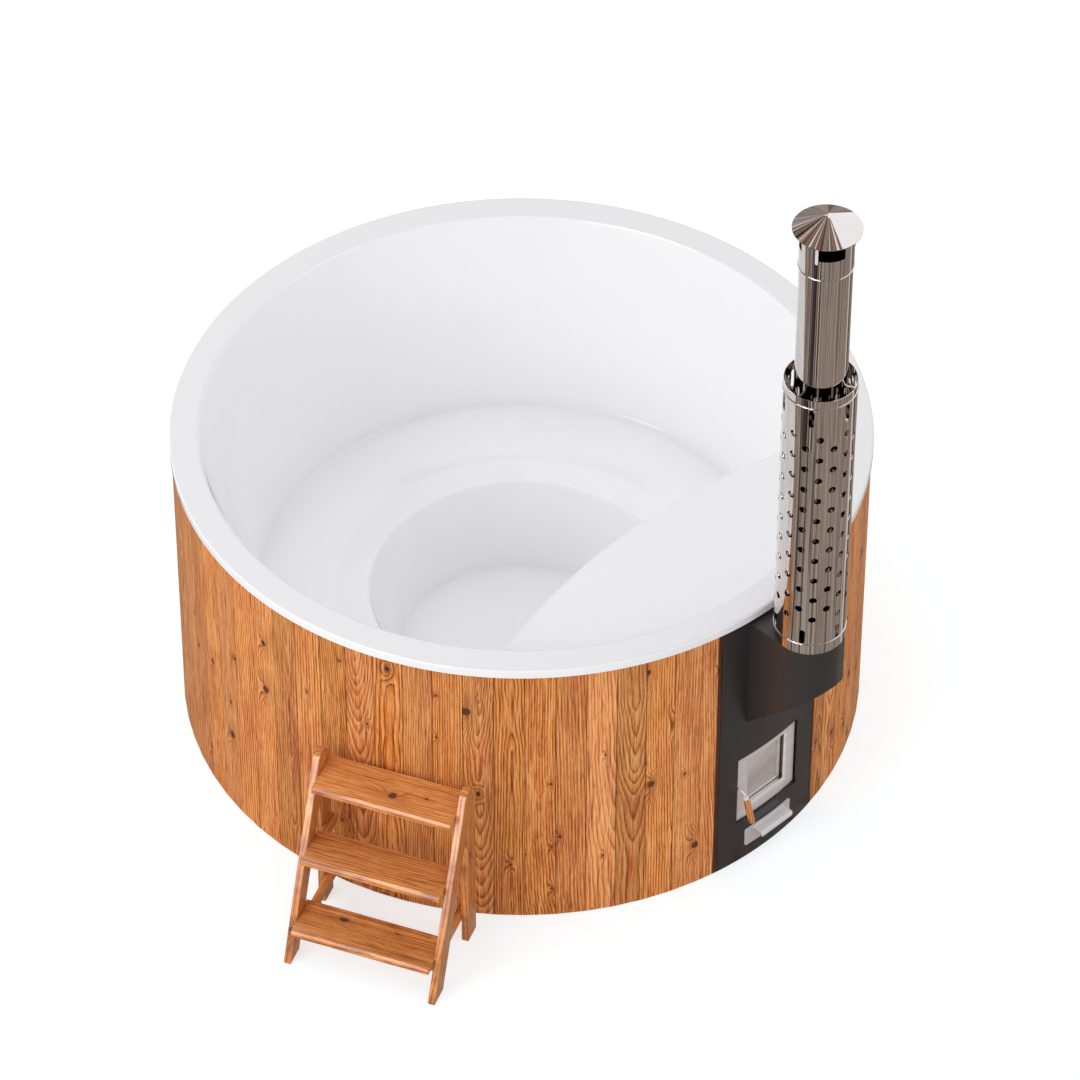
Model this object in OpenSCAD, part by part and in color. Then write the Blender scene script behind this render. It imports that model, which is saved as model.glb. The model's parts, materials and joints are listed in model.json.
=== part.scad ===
// Round wooden hot tub with a built-in wood-fired stove, a perforated chimney guard
// and a free-standing set of steps.
// Millimetres, +Z up. The origin is on the ground under the tub's centre, and the
// stove faces -Y.

/* [Tub] */
// Outer diameter of the moulded rim
tub_d = 2000; // [1900:10:2100]
// Height of the rim's top above the ground
tub_h = 975; // [950:5:1050]
// Width of the flat rim, from its outer edge to its inner edge
rim_w = 84; // [70:1:100]
// Height of the turned-down outer edge of the rim
lip_h = 28; // [20:1:40]
// Rounding of the rim's outer edge
lip_round_r = 7; // [6:0.5:9]
// Thickness of the moulded shell
skin_t = 4; // [3:0.5:5]
// Radius of the bathing wall at its foot
wall_foot_r = 755; // [740:5:770]
// Height of the bathing wall's foot
wall_foot_z = 374; // [365:1:385]
// Radius where the dished seat turns flat
seat_flat_r = 543; // [530:1:580]
// Height of the flat part of the seat
seat_z = 340; // [335:1:350]
// Radius of the footwell's upper edge
footwell_r = 446; // [430:1:450]
// Radius of the footwell's floor
floor_r = 357; // [340:1:370]
// Height of the footwell's floor
floor_z = 85; // [80:1:95]
// Height of the weld between the footwell and the seat
footwell_seam_z = 300; // [270:5:310]
// Height of the weld between the seat and the wall
seat_seam_z = 470; // [465:5:520]

/* [Heater housing in the shell] */
// Radius of the housing's curved wall, seen from above
housing_r = 1939; // [1800:10:2100]
// Distance from the rim's outer edge to the housing's wall
housing_depth = 560.5; // [545:0.5:561]
// Depth of the housing's flat top below the rim
deck_drop = 108; // [98:1:116]
// Rounding of the housing's upper edge
housing_edge_r = 14; // [8:1:20]

/* [Cladding] */
// Gap between the turned-down rim and the cladding
lip_gap = 0.4; // [0.3:0.1:1]
// Number of boards in a full ring
board_count = 73; // [60:1:90]
// Thickness of a board
board_t = 18; // [16:1:20]
// Gap between two boards
board_gap = 0.4; // [0.3:0.1:1]
// Chamfer on a board's outer edges
board_chamfer = 1.2; // [0.5:0.1:2]
// Width in degrees of the trimmed board on the left of the stove panel
trimmed_board_deg = 3.7; // [3:0.1:4.5]
// Side of the square tongue on a board's edge
tongue_s = 5; // [4:0.5:6]
// Clearance under the boards
board_lift = 2; // [1:1:5]

/* [Frame] */
// Width of the frame's rings and studs
frame_w = 45; // [40:1:48]
// Height of a frame ring
ring_h = 28; // [18:1:32]
// Height of the middle ring's centre above the ground
middle_ring_z = 520; // [450:5:600]
// Number of gaps between the studs in a full circle
stud_count = 12; // [8:1:14]
// Height of the base joists
joist_h = 62; // [56:1:66]
// Width of a base joist
joist_w = 45; // [35:1:50]
// Distance between two joists
joist_pitch = 250; // [235:5:270]
// Clearance that seats the shell on its frame
seat_gap = 0.3; // [0.2:0.1:0.5]

/* [Stove panel] */
// Half of the angle that the panel covers
panel_half_deg = 10.97; // [10.9:0.01:11.5]
// Thickness of the panel sheet
sheet_t = 4; // [3:0.5:4]
// Half width of the door opening in the panel
opening_half_w = 122.5; // [120:0.5:124]
// Lower edge of the door opening
opening_z0 = 153; // [150:1:156]
// Upper edge of the door opening
opening_z1 = 411.5; // [405:0.5:420]
// Depth of the panel's side flanges
flange_d = 34; // [20:1:36]
// Depth of the folded sill under the door
sill_d = 5.5; // [4:0.1:6]
// Radius of a panel screw's head
panel_screw_r = 3.2; // [2.5:0.1:4]
// Height of the lowest panel screws
panel_screw_z = 122; // [110:1:140]
// Distance between two panel screws
panel_screw_pitch = 300; // [240:5:360]

/* [Door] */
// Gap between the door and its opening at the sides
door_side_gap = 3.5; // [3.5:0.5:6]
// Gap between the door and its opening above and below
door_end_gap = 3; // [2.5:0.5:4]
// How far the door lies behind the panel's face
door_recess = 10; // [8:0.5:12]
// Thickness of the door at its middle
door_t = 35; // [33:0.5:38]
// Width of the window opening in the door
window_w = 150; // [120:1:155]
// Height of the window opening in the door
window_h = 177; // [150:1:180]
// How far the window sits above the door's middle
window_rise = 4; // [0:0.5:8]
// Width of the bevel round the window
window_bevel = 7; // [4:0.5:8]
// Thickness of the door glass
glass_t = 4; // [3:0.5:5]
// Distance of the hinge pins from the door's right edge
pivot_inset = 5.5; // [5.5:0.1:7]
// Metal left in front of a hinge pin
pivot_cover = 2.2; // [2:0.1:3]
// Radius of a hinge pin
pin_r = 3.2; // [2.5:0.1:3.4]
// Running clearance of a pin or spindle in its hole
run_gap = 0.3; // [0.3:0.05:0.5]

/* [Door handle] */
// Distance of the handle's spindle from the door's left edge
spindle_inset = 6; // [6:0.5:9]
// Height of the spindle above the ground
spindle_z = 291; // [270:1:310]
// Radius of the spindle
spindle_r = 4; // [3.5:0.1:4.5]
// Radius of the bent handle rod
rod_r = 3; // [2.5:0.1:3.5]
// Straight length of the rod before its bend
rod_straight = 12; // [8:1:16]
// Bending radius of the rod
rod_bend_r = 16; // [14:1:26]
// Angle through which the rod is bent
rod_bend_deg = 71; // [65:0.5:80]
// Radius of the wooden grip
grip_r = 10; // [8:0.5:11]
// Length of the wooden grip
grip_len = 82; // [65:1:90]
// Length of the metal ferrule above the grip
ferrule_len = 9; // [7:1:12]

/* [Ash drawer] */
// Width of the drawer's front plate
drawer_plate_w = 184; // [180:1:188]
// Lower edge of the drawer's front plate
drawer_plate_z0 = 51; // [50:1:54]
// Upper edge of the drawer's front plate
drawer_plate_z1 = 117; // [115:1:122]
// Thickness of the front plate
drawer_plate_t = 3; // [2:0.5:4]
// Width of the bent pull on the drawer
pull_w = 126; // [110:1:140]
// Height of the pull's top face
pull_z = 110; // [106:1:112]
// How far the pull stands out of the plate
pull_d = 34; // [28:1:40]
// Length of the pull's turned-down lip
pull_lip = 17; // [14:1:20]
// Inside width of the ash tray
tray_w = 154; // [140:1:156]
// Length of the ash tray
tray_len = 350; // [300:5:360]

/* [Stove] */
// Half of the stove body's width
stove_half_w = 165; // [160:1:168]
// Length of the stove body
stove_len = 365; // [345:1:372]
// Distance from the stove's front plate to the door's back
door_standoff = 25.3; // [24:0.1:30]
// Height of the stove's underside
stove_z0 = 58; // [56:1:58]
// Height of the stove's top above the flue's axis
stove_head = 100; // [95:1:102]
// Depth of the water jacket
jacket_d = 24; // [18:1:26]
// Thickness of the stove's steel
plate_t = 3; // [3:0.5:4]
// Half width of the fire opening
fire_half_w = 86; // [80:1:88]
// Height of the fire grate's underside
grate_z = 136; // [132:1:140]
// Radius of the water pipes between the jacket and the tub
water_pipe_r = 21; // [18:1:24]
// Height of the lower water pipe
lower_pipe_z = 420; // [405:1:450]
// Distance of the upper water pipe below the stove's top
upper_pipe_drop = 70; // [60:1:100]
// Distance of the water pipes from the stove's middle
pipe_offset = 90; // [70:1:100]

/* [Chimney] */
// Distance from the cladding's face to the chimney's axis
chimney_reach = 126.9; // [124:0.1:130]
// Half width of the hood below the chimney
hood_r = 98.7; // [96:0.1:100]
// Depth of the hood's top below the rim
hood_drop = 38.4; // [34:0.2:44]
// Height of the hood where it meets the panel
hood_h = 383.6; // [375:0.2:392]
// Radius of the visible flue pipe
flue_r = 71.5; // [70:0.5:72]
// Wall of the flue pipe
flue_t = 1.5; // [1.2:0.1:2]
// Depth below the hood's top of the flue's axis where it leaves the stove
flue_drop = 186.6; // [184:0.2:192]
// Bending radius of the flue elbow
elbow_r = 76; // [74:1:80]
// Length of the flue pipe above the guard
flue_rise = 437; // [400:1:460]
// How far the guard stands out beyond the hood's round side
guard_overhang = 0.8; // [0.3:0.1:1.2]
// Wall of the perforated guard
guard_t = 1.5; // [1.2:0.1:2]
// Height of the guard
guard_h = 926.4; // [915:0.2:940]
// Radius of a round hole in the guard
guard_hole_r = 10.5; // [8:0.5:12]
// Distance between two holes in a column
guard_hole_pitch = 73.3; // [70:0.1:75]
// Height of a full column's lowest hole above the hood
guard_hole_rise = 130.4; // [125:0.1:138]
// Number of hole columns round the guard
guard_columns = 16; // [12:2:18]
// Holes in a full column
guard_rows = 10; // [6:1:10]
// Width of a slot at the guard's ends
slot_w = 15.7; // [12:0.1:18]
// Height of a slot at the guard's foot
slot_h = 50; // [40:1:55]
// Height of a slot at the guard's head
slot_head_h = 60; // [45:1:65]

/* [Chimney cap] */
// Distance of the bead at the sleeve's foot below the flue's upper end
cap_lap = 41.5; // [35:0.5:50]
// Height of the windows' lower edge above the flue's upper end
cap_window_rise = 23; // [18:1:30]
// Height of the windows
cap_window_h = 57; // [50:1:66]
// Radius of the cone
cone_r = 93; // [88:1:100]
// Height of the cone
cone_h = 48; // [40:1:56]
// Width of a window in degrees
cap_window_deg = 58; // [50:1:70]

/* [Steps] */
// Direction in which the steps stand, from the tub's centre
steps_deg = -155.71; // [-165:0.01:-145]
// Offset of the steps' middle to the right of that direction
steps_shift = 23.7; // [0:0.1:40]
// Width over the stringers
steps_w = 456; // [420:1:500]
// Thickness of a stringer or leg
step_board_t = 21.2; // [18:0.1:25]
// Distance from the tub's rim to the stringers' front foot
steps_reach = 337; // [330:1:350]
// Horizontal depth of a stringer
stringer_d = 66.5; // [60:0.5:75]
// Lean of the stringers
stringer_lean_deg = 23.4; // [22:0.1:24]
// Height of the centre of the stringers' round head
stringer_head_z = 565; // [560:1:590]
// Distance from the tub's rim to the rear legs' back
leg_clear = 16; // [12:1:20]
// Depth of a rear leg
leg_d = 60.5; // [55:0.5:64]
// Height of the lowest tread
tread_z = 128; // [120:1:140]
// Rise from one tread to the next
tread_rise = 202.5; // [195:0.5:205]
// Thickness of a tread
tread_t = 22; // [20:1:26]
// How far a tread stands out in front of the stringers
tread_nose = 45; // [40:1:50]
// Width of a tread support
cleat_w = 20; // [18:1:24]
// Height of a tread support
cleat_h = 28; // [24:1:32]
// How far the rear rail stands above the lowest tread
rail_rise = 12; // [8:1:16]

/* [Drain] */
// Distance of the drain line to the left of the tub's axis, as a share of the rim's radius
drain_share = 0.1; // [0.09:0.005:0.125]
// Place of the drain in the footwell, towards the stove
drain_y = -100; // [-150:5:-60]
// Height of the drain pipe's axis
drain_z = 31; // [28:1:33]
// Radius of the drain pipe
drain_r = 20; // [18:0.5:22]
// Radius of the hose end
hose_end_r = 16; // [14:0.5:18]
// Length of the hose end
hose_end_len = 40; // [30:1:50]

/* [Hidden] */
$fn = 96;
eps = 0.01;

// colours, as the photograph shows them
acrylic = [0.93, 0.93, 0.94];
larch = [0.72, 0.43, 0.22];
pine = [0.80, 0.66, 0.45];
charcoal = [0.19, 0.18, 0.18];
steel = [0.66, 0.65, 0.64];
polished = [0.55, 0.51, 0.47];
iron = [0.22, 0.22, 0.23];
dark = [0.12, 0.12, 0.12];
glassy = [0.62, 0.58, 0.56, 0.5];
plastic = [0.85, 0.85, 0.86];
brass = [0.78, 0.62, 0.32];

// ---- derived values: tub and frame ----
rim_r = tub_d / 2;
clad_r = rim_r - skin_t - lip_gap;
wall_top_r = rim_r - rim_w;
lip_z = tub_h - lip_h;
rim_seam_z = lip_z - 2;
// corners of the shell's water side from the floor's centre to the lip: radius, height, fillet
shell_corners = [[0, floor_z, 0], [floor_r, floor_z, 25], [footwell_r, seat_z, 28],
    [seat_flat_r, seat_z, 60], [wall_foot_r, wall_foot_z, 40], [wall_top_r, tub_h, 10],
    [rim_r, tub_h, lip_round_r], [rim_r, lip_z, 0]];
housing_z = tub_h - deck_drop;
shell_back_z = floor_z - skin_t;
wall_slope = (wall_top_r - wall_foot_r) / (tub_h - wall_foot_z);
board_pitch_deg = 360 / board_count;
drain_x = -drain_share * rim_r;
board_half_gap_deg = board_gap / 2 / clad_r * 180 / PI;
// the boards end below the rounding behind the rim's edge
board_top_z = tub_h - lip_round_r - seat_gap;
board_back_r = clad_r * cos(board_pitch_deg / 2) - board_t;
board_corner_r = board_back_r / cos(board_pitch_deg / 2);
frame_r = board_back_r - seat_gap;
frame_in_r = frame_r - frame_w;
base_top_z = shell_back_z - seat_gap;
top_ring_z = tub_h - skin_t - seat_gap - ring_h;
panel_left_deg = 270 - panel_half_deg;
panel_right_deg = -90 + panel_half_deg;
stud_first_deg = panel_right_deg + 2.6;
stud_span_deg = panel_left_deg - 2.6 - stud_first_deg;
housing_centre_x = rim_r - housing_depth + housing_r;
large_fn = 360;

// ---- derived values: door ----
panel_in_r = clad_r - sheet_t;
door_r = clad_r - door_recess;
door_back_x = door_r - door_t;
stove_front_x = door_back_x - door_standoff;
stove_back_x = stove_front_x - stove_len;
stove_bay_w = 2 * (clad_r * sin(panel_half_deg) + 6);
stove_bay_x = stove_back_x - 30;
door_half_w = opening_half_w - door_side_gap;
door_z0 = opening_z0 + door_end_gap;
door_z1 = opening_z1 - door_end_gap;
window_z0 = (door_z0 + door_z1 - window_h) / 2 + window_rise;
pivot_y = door_half_w - pivot_inset;
pivot_x = sqrt(door_r * door_r - pivot_y * pivot_y) - pin_r - pivot_cover;
spindle_y = -(door_half_w - spindle_inset);
rebate = 9;
rebate_x = door_back_x + 15;
glass_gap = 0.5;
glass_x = rebate_x - glass_gap - glass_t;
retainer_gap = 3;
retainer_t = 3;
retainer_w = 12;
gasket_r = 4;
gasket_half_w = fire_half_w + 9;
gasket_z0 = door_z0 + 18;
gasket_z1 = door_z1 - 18;
collar_front_x = door_back_x - 2 * gasket_r - run_gap;
hinge_lug_t = 6;
hinge_lug_gap = 0.5;
hinge_lug_reach = 4.2;
pin_grip = 12;
cam_t = 4;
cam_x = door_back_x - cam_t - 2 * run_gap;
cam_len = 17;
cam_w = 12;
keeper_t = 3;
rod_end_x = door_r - 1.5 + rod_straight;
bend_end = [rod_end_x + rod_bend_r * sin(rod_bend_deg),
    spindle_z - rod_bend_r * (1 - cos(rod_bend_deg))];

// ---- derived values: stove, drawer and chimney ----
hood_z1 = tub_h - hood_drop;
hood_z0 = hood_z1 - hood_h;
flue_z = hood_z1 - flue_drop;
stove_z1 = flue_z + stove_head;
guard_top_z = hood_z1 + guard_h;
flue_top_z = guard_top_z + flue_rise;
cap_bead_z = flue_top_z - cap_lap;
cap_window_z = flue_top_z + cap_window_rise;
cone_z = cap_window_z + cap_window_h;
pipe_z = [lower_pipe_z, stove_z1 - upper_pipe_drop];
chamber_half_w = stove_half_w - jacket_d - 2 * plate_t;
chamber_back_x = stove_back_x + jacket_d + 2 * plate_t;
chamber_top_z = stove_z1 - jacket_d - 2 * plate_t;
ledge_z = grate_z - 8;
ledge_half_w = chamber_half_w - 25;
grate_t = 14;
tray_wall = 1.5;
tray_z0 = stove_z0 + plate_t + 3.3;
tray_h = 44;
drawer_slot_gap = 3;
plate_out_r = clad_r + 1.4 + drawer_plate_t;
plate_in_r = plate_out_r - drawer_plate_t;
tray_back_x = clad_r - 3 - tray_len;
flue_in_r = flue_r - flue_t;
elbow_out_r = flue_in_r - 0.3;
hood_back_r = clad_r + 0.2;
chimney_x = clad_r + chimney_reach;
guard_r = hood_r + guard_overhang;
guard_hole_z = hood_z1 + guard_hole_rise;
base_ring_t = 3;
cone_t = 1.8;
panel_x0 = sqrt(clad_r * clad_r - hood_r * hood_r);
window_starts = [-154.8, 100.6, -27];
strap_angles = [-158.3, -38.3, 81.7];

// ---- derived values: steps ----
lean = tan(stringer_lean_deg);
inner_w = steps_w - 2 * step_board_t;
stringer_half = stringer_d / 2 * cos(stringer_lean_deg);
steps_front = rim_r + steps_reach;
leg_back = rim_r + leg_clear;
head_x = steps_front - stringer_d / 2 - lean * stringer_head_z;
tread_depths = [100, 126, 140];
tread_end_gap = 0.3;
function stringer_front(z) = steps_front - lean * z;
function stringer_back(z) = steps_front - stringer_d - lean * z;

// ---- shapes that several sub-parts share ----

// local x points out of the stove, local y to the right of someone facing it
module at_stove() { rotate([0, 0, -90]) children(); }

// local x points from the tub's centre to the steps
module at_steps() { rotate([0, 0, steps_deg]) translate([0, steps_shift, 0]) children(); }

// the chimney's own axis
module at_chimney() { at_stove() translate([chimney_x, 0, 0]) rotate([0, 0, 90]) children(); }

// a plate in the local x-z plane that starts at y0 and is t thick
module upright(y0, t) {
    translate([0, y0 + t, 0]) rotate([90, 0, 0]) linear_extrude(t) children();
}

// a plain tube
module tube(r_out, r_in, h, fn = 96) {
    difference() {
        cylinder(r = r_out, h = h, $fn = fn);
        translate([0, 0, -1]) cylinder(r = r_in, h = h + 2, $fn = fn);
    }
}

// a block given by its two corners
module block(low, high) { translate(low) cube(high - low); }

// a wedge of a large circle between two angles under 180 degrees apart
module sector(a0, a1, h) {
    reach = 2 * rim_r;
    mid = (a0 + a1) / 2;
    linear_extrude(h) polygon([[0, 0], reach * [cos(a0), sin(a0)],
        reach * [cos(mid), sin(mid)], reach * [cos(a1), sin(a1)]]);
}

// a rectangle with round corners, centred
module round_rect(w, h, r) {
    square([w - 2 * r, h], center = true);
    square([w, h - 2 * r], center = true);
    for (sx = [-1, 1], sy = [-1, 1])
        translate([sx * (w / 2 - r), sy * (h / 2 - r)]) circle(r = r);
}

function unit(v) = v / norm(v);
function right_of(v) = [v.y, -v.x];
function flat_point(p) = [p.x, p.y];

// the arc that rounds corner b between a and c
function corner_arc(a, b, c, r, steps) =
    r <= 0 ? [b] :
    let (u = unit(a - b), w = unit(c - b), half = acos(u * w) / 2,
        centre = b + unit(u + w) * r / sin(half),
        p0 = b + u * r / tan(half) - centre, p1 = b + w * r / tan(half) - centre,
        a0 = atan2(p0.y, p0.x), turn = (atan2(p1.y, p1.x) - a0 + 540) % 360 - 180)
    [for (i = [0:steps]) centre + r * [cos(a0 + turn * i / steps), sin(a0 + turn * i / steps)]];

// an open path of corners with their fillets drawn in
function fillet_path(corners, steps) = [for (i = [0:len(corners) - 1])
    each (i == 0 || i == len(corners) - 1) ? [flat_point(corners[i])] :
        corner_arc(flat_point(corners[i - 1]), flat_point(corners[i]),
            flat_point(corners[i + 1]), corners[i][2], steps)];

// the same corners moved to the right of the path by t
function shifted(corners, t) = [for (i = [0:len(corners) - 1])
    let (b = flat_point(corners[i]),
        d0 = i == 0 ? [0, 0] : unit(b - flat_point(corners[i - 1])),
        d1 = i == len(corners) - 1 ? [0, 0] : unit(flat_point(corners[i + 1]) - b),
        n0 = right_of(i == 0 ? d1 : d0), n1 = right_of(i == len(corners) - 1 ? d0 : d1),
        left_turn = d0.x * d1.y - d0.y * d1.x > 0,
        p = b + (n0 + n1) * t / (1 + n0 * n1))
    [p.x, p.y, corners[i][2] == 0 ? 0 : corners[i][2] + (left_turn ? t : -t)]];

function reversed(list) = [for (i = [len(list) - 1:-1:0]) list[i]];

// ---- tub ----

// solid of the heater housing, grown inwards by inset
module housing_solid(inset) {
    r = housing_r - inset;
    edge = housing_edge_r - inset;
    top = housing_z - inset;
    at_stove() translate([housing_centre_x, 0, 0]) rotate_extrude($fn = 180) {
        square([r - edge, top]);
        square([r, top - edge]);
        translate([r - edge, top - edge]) circle(r = edge);
    }
}

// the whole shell, which is welded from four sections that butt on level seams
module shell_solid() {
    water_side = fillet_path(shell_corners, 6);
    back_corners = shifted(shell_corners, skin_t);
    back_side = fillet_path(back_corners, 6);
    wall_back = fillet_path([for (i = [0:5]) back_corners[i]], 6);
    difference() {
        union() {
            difference() {
                rotate_extrude($fn = 180) polygon(concat(water_side, reversed(back_side)));
                housing_solid(skin_t);
            }
            intersection() {
                difference() {
                    housing_solid(0);
                    housing_solid(skin_t);
                }
                rotate_extrude($fn = 180) polygon(concat(wall_back, [[0, tub_h - skin_t]]));
            }
        }
        translate([drain_x, drain_y, 0]) cylinder(r = drain_r + 0.5, h = seat_z);
        at_stove() for (i = [0, 1])
            translate([0, (i == 0 ? -1 : 1) * pipe_offset, pipe_z[i]]) rotate([0, 90, 0])
                cylinder(r = water_pipe_r + 0.5, h = stove_back_x);
    }
}

// the part of the shell between two heights
module shell_section(low, high) {
    color(acrylic) intersection() {
        shell_solid();
        block([-tub_d, -tub_d, low], [tub_d, tub_d, high]);
    }
}

module shell_rim() { shell_section(rim_seam_z, tub_h + 1); }

module bathing_wall() { shell_section(seat_seam_z, rim_seam_z); }

module seat_ring() { shell_section(footwell_seam_z, seat_seam_z); }

module footwell_pan() { shell_section(0, footwell_seam_z); }

// cross-section of a board from angle a0 to a1, with a groove at a0 and a tongue at a1
module board_outline(a0, a1, groove, tongue) {
    play = 0.3;
    mid_r = clad_r - board_t / 2;
    chamfer_deg = board_chamfer / clad_r * 180 / PI;
    side0 = [cos(a0), sin(a0)];
    side1 = [cos(a1), sin(a1)];
    along0 = [-sin(a0), cos(a0)];
    along1 = [-sin(a1), cos(a1)];
    half0 = tongue_s / 2 + play;
    polygon(concat([board_corner_r * side0],
        groove ? [(mid_r - half0) * side0, (mid_r - half0) * side0 + (tongue_s + play) * along0,
            (mid_r + half0) * side0 + (tongue_s + play) * along0, (mid_r + half0) * side0] : [],
        [(clad_r - board_chamfer) * side0,
            clad_r * [cos(a0 + chamfer_deg), sin(a0 + chamfer_deg)],
            clad_r * [cos(a1 - chamfer_deg), sin(a1 - chamfer_deg)],
            (clad_r - board_chamfer) * side1],
        tongue ? [(mid_r + tongue_s / 2) * side1, (mid_r + tongue_s / 2) * side1 + tongue_s * along1,
            (mid_r - tongue_s / 2) * side1 + tongue_s * along1, (mid_r - tongue_s / 2) * side1] : [],
        [board_corner_r * side1]));
}

module cladding_boards() {
    first = panel_left_deg - trimmed_board_deg;
    full = floor((first - panel_right_deg) / board_pitch_deg);
    rest = first - full * board_pitch_deg;
    g = board_half_gap_deg;
    h = board_top_z - board_lift;
    color(larch) difference() {
        translate([0, 0, board_lift]) {
            for (i = [0:full - 1]) let (a1 = first - i * board_pitch_deg)
                linear_extrude(h) board_outline(a1 - board_pitch_deg + g, a1 - g, true, true);
            linear_extrude(h) board_outline(first + g, panel_left_deg - g, true, false);
            if (rest - panel_right_deg > 1)
                linear_extrude(h) board_outline(panel_right_deg + g, rest - g, false, true);
        }
        translate([drain_x, rim_r - board_t * 3, drain_z]) rotate([-90, 0, 0])
            cylinder(r = drain_r + 1.5, h = board_t * 4);
    }
}

// a flat ring of the frame, open at the stove
module frame_ring(z, h) {
    translate([0, 0, z]) difference() {
        tube(frame_r, frame_in_r, h, large_fn);
        translate([0, 0, -1]) sector(panel_left_deg - 360, panel_right_deg, h + 2);
    }
}

module top_ring() { color(pine) frame_ring(top_ring_z, ring_h); }

module middle_ring() { color(pine) frame_ring(middle_ring_z - ring_h / 2, ring_h); }

module bottom_ring() { color(pine) frame_ring(base_top_z, ring_h); }

module frame_studs() {
    low = base_top_z + ring_h;
    mid = middle_ring_z - ring_h / 2;
    spans = [[low, mid], [mid + ring_h, top_ring_z]];
    color(pine) for (i = [0:stud_count], s = spans)
        rotate([0, 0, stud_first_deg + stud_span_deg * i / stud_count])
            block([frame_in_r + 2, -frame_w / 2, s[0]], [frame_r - 2, frame_w / 2, s[1]]);
}

// the space that the stove takes out of the base
module stove_bay(h) {
    at_stove() translate([stove_bay_x, -stove_bay_w / 2, -1]) cube([rim_r, stove_bay_w, h + 2]);
}

module base_floor() {
    color(pine) difference() {
        translate([0, 0, joist_h]) cylinder(r = frame_r, h = base_top_z - joist_h, $fn = large_fn);
        stove_bay(base_top_z);
        translate([drain_x, drain_y, 0]) cylinder(r = drain_r + 6, h = base_top_z + 1);
    }
}

module base_joists() {
    count = floor((frame_r - 150) / joist_pitch);
    color(pine) for (i = [-count:count]) let (x = i * joist_pitch,
            far = abs(x) + joist_w / 2, end = sqrt(pow(frame_r - 2, 2) - far * far),
            near = abs(x) < stove_bay_w / 2 ? stove_bay_x : end)
        block([x - joist_w / 2, -near, 0], [x + joist_w / 2, end, joist_h]);
}

// ---- drain ----

module drain_strainer() {
    flange_r = drain_r + 15;
    slots = 6;
    color(steel) translate([drain_x, drain_y, 0]) difference() {
        union() {
            translate([0, 0, floor_z]) cylinder(r = flange_r, h = 3);
            translate([0, 0, drain_z + drain_r + 8]) cylinder(r = drain_r, h = floor_z - drain_z - drain_r - 7);
        }
        translate([0, 0, drain_z]) cylinder(r = drain_r - 3, h = floor_z - drain_z);
        for (i = [0:slots - 1]) rotate([0, 0, i * 360 / slots])
            translate([9, 0, floor_z - 1]) cylinder(r = 3.5, h = 5);
    }
}

module drain_elbow() {
    wall = 2.5;
    color(plastic) translate([drain_x, drain_y, drain_z]) difference() {
        union() {
            cylinder(r = drain_r, h = drain_r + 8);
            rotate([-90, 0, 0]) cylinder(r = drain_r, h = 40);
            sphere(r = drain_r);
        }
        cylinder(r = drain_r - wall, h = drain_r + 9);
        rotate([-90, 0, 0]) cylinder(r = drain_r - wall, h = 41);
        sphere(r = drain_r - wall);
    }
}

// the valve sits just outside the cladding
valve_y = clad_r + 8;
valve_len = 58;
ball_r = 15;

module drain_pipe() {
    start = drain_y + 40;
    color(plastic) translate([drain_x, start, drain_z]) rotate([-90, 0, 0])
        tube(drain_r, drain_r - 2.5, valve_y - start);
}

module drain_valve() {
    body_r = 24;
    color(brass) translate([drain_x, valve_y, drain_z]) difference() {
        union() {
            rotate([-90, 0, 0]) cylinder(r = body_r, h = valve_len);
            rotate([-90, 0, 0]) cylinder(r = hose_end_r, h = valve_len + hose_end_len);
            translate([0, valve_len / 2, 0]) cylinder(r = 9, h = body_r + 4);
        }
        rotate([-90, 0, 0]) translate([0, 0, -1])
            cylinder(r = ball_r * 0.7, h = valve_len + hose_end_len + 2);
        translate([0, valve_len / 2, 0]) sphere(r = ball_r + 0.3);
        translate([0, valve_len / 2, 0]) cylinder(r = 4 + run_gap, h = body_r + 5);
    }
}

module drain_ball() {
    color(steel) translate([drain_x, valve_y + valve_len / 2, drain_z]) difference() {
        union() {
            sphere(r = ball_r);
            cylinder(r = 4, h = 31);
        }
        rotate([0, 90, 0]) translate([0, 0, -ball_r - 1]) cylinder(r = ball_r * 0.6, h = 2 * ball_r + 2);
    }
}

module drain_lever() {
    lever_len = 78;
    lever_w = 16;
    z = drain_z + 29;
    color(iron) translate([drain_x, valve_y + valve_len / 2, z]) difference() {
        union() {
            cylinder(r = 11, h = 5);
            translate([0, -lever_w / 2, 0]) cube([lever_len, lever_w, 4]);
            translate([lever_len, 0, 0]) cylinder(r = lever_w / 2, h = 4);
        }
        translate([0, 0, -1]) cylinder(r = 4, h = 7);
    }
}

// ---- stove panel ----

// a slot through the panel in front of the drawer's tray
module drawer_slot(gap) {
    block([stove_front_x - 1, -tray_w / 2 - tray_wall - gap, tray_z0 - gap],
        [rim_r + 1, tray_w / 2 + tray_wall + gap, tray_z0 + tray_h + gap]);
}

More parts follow.
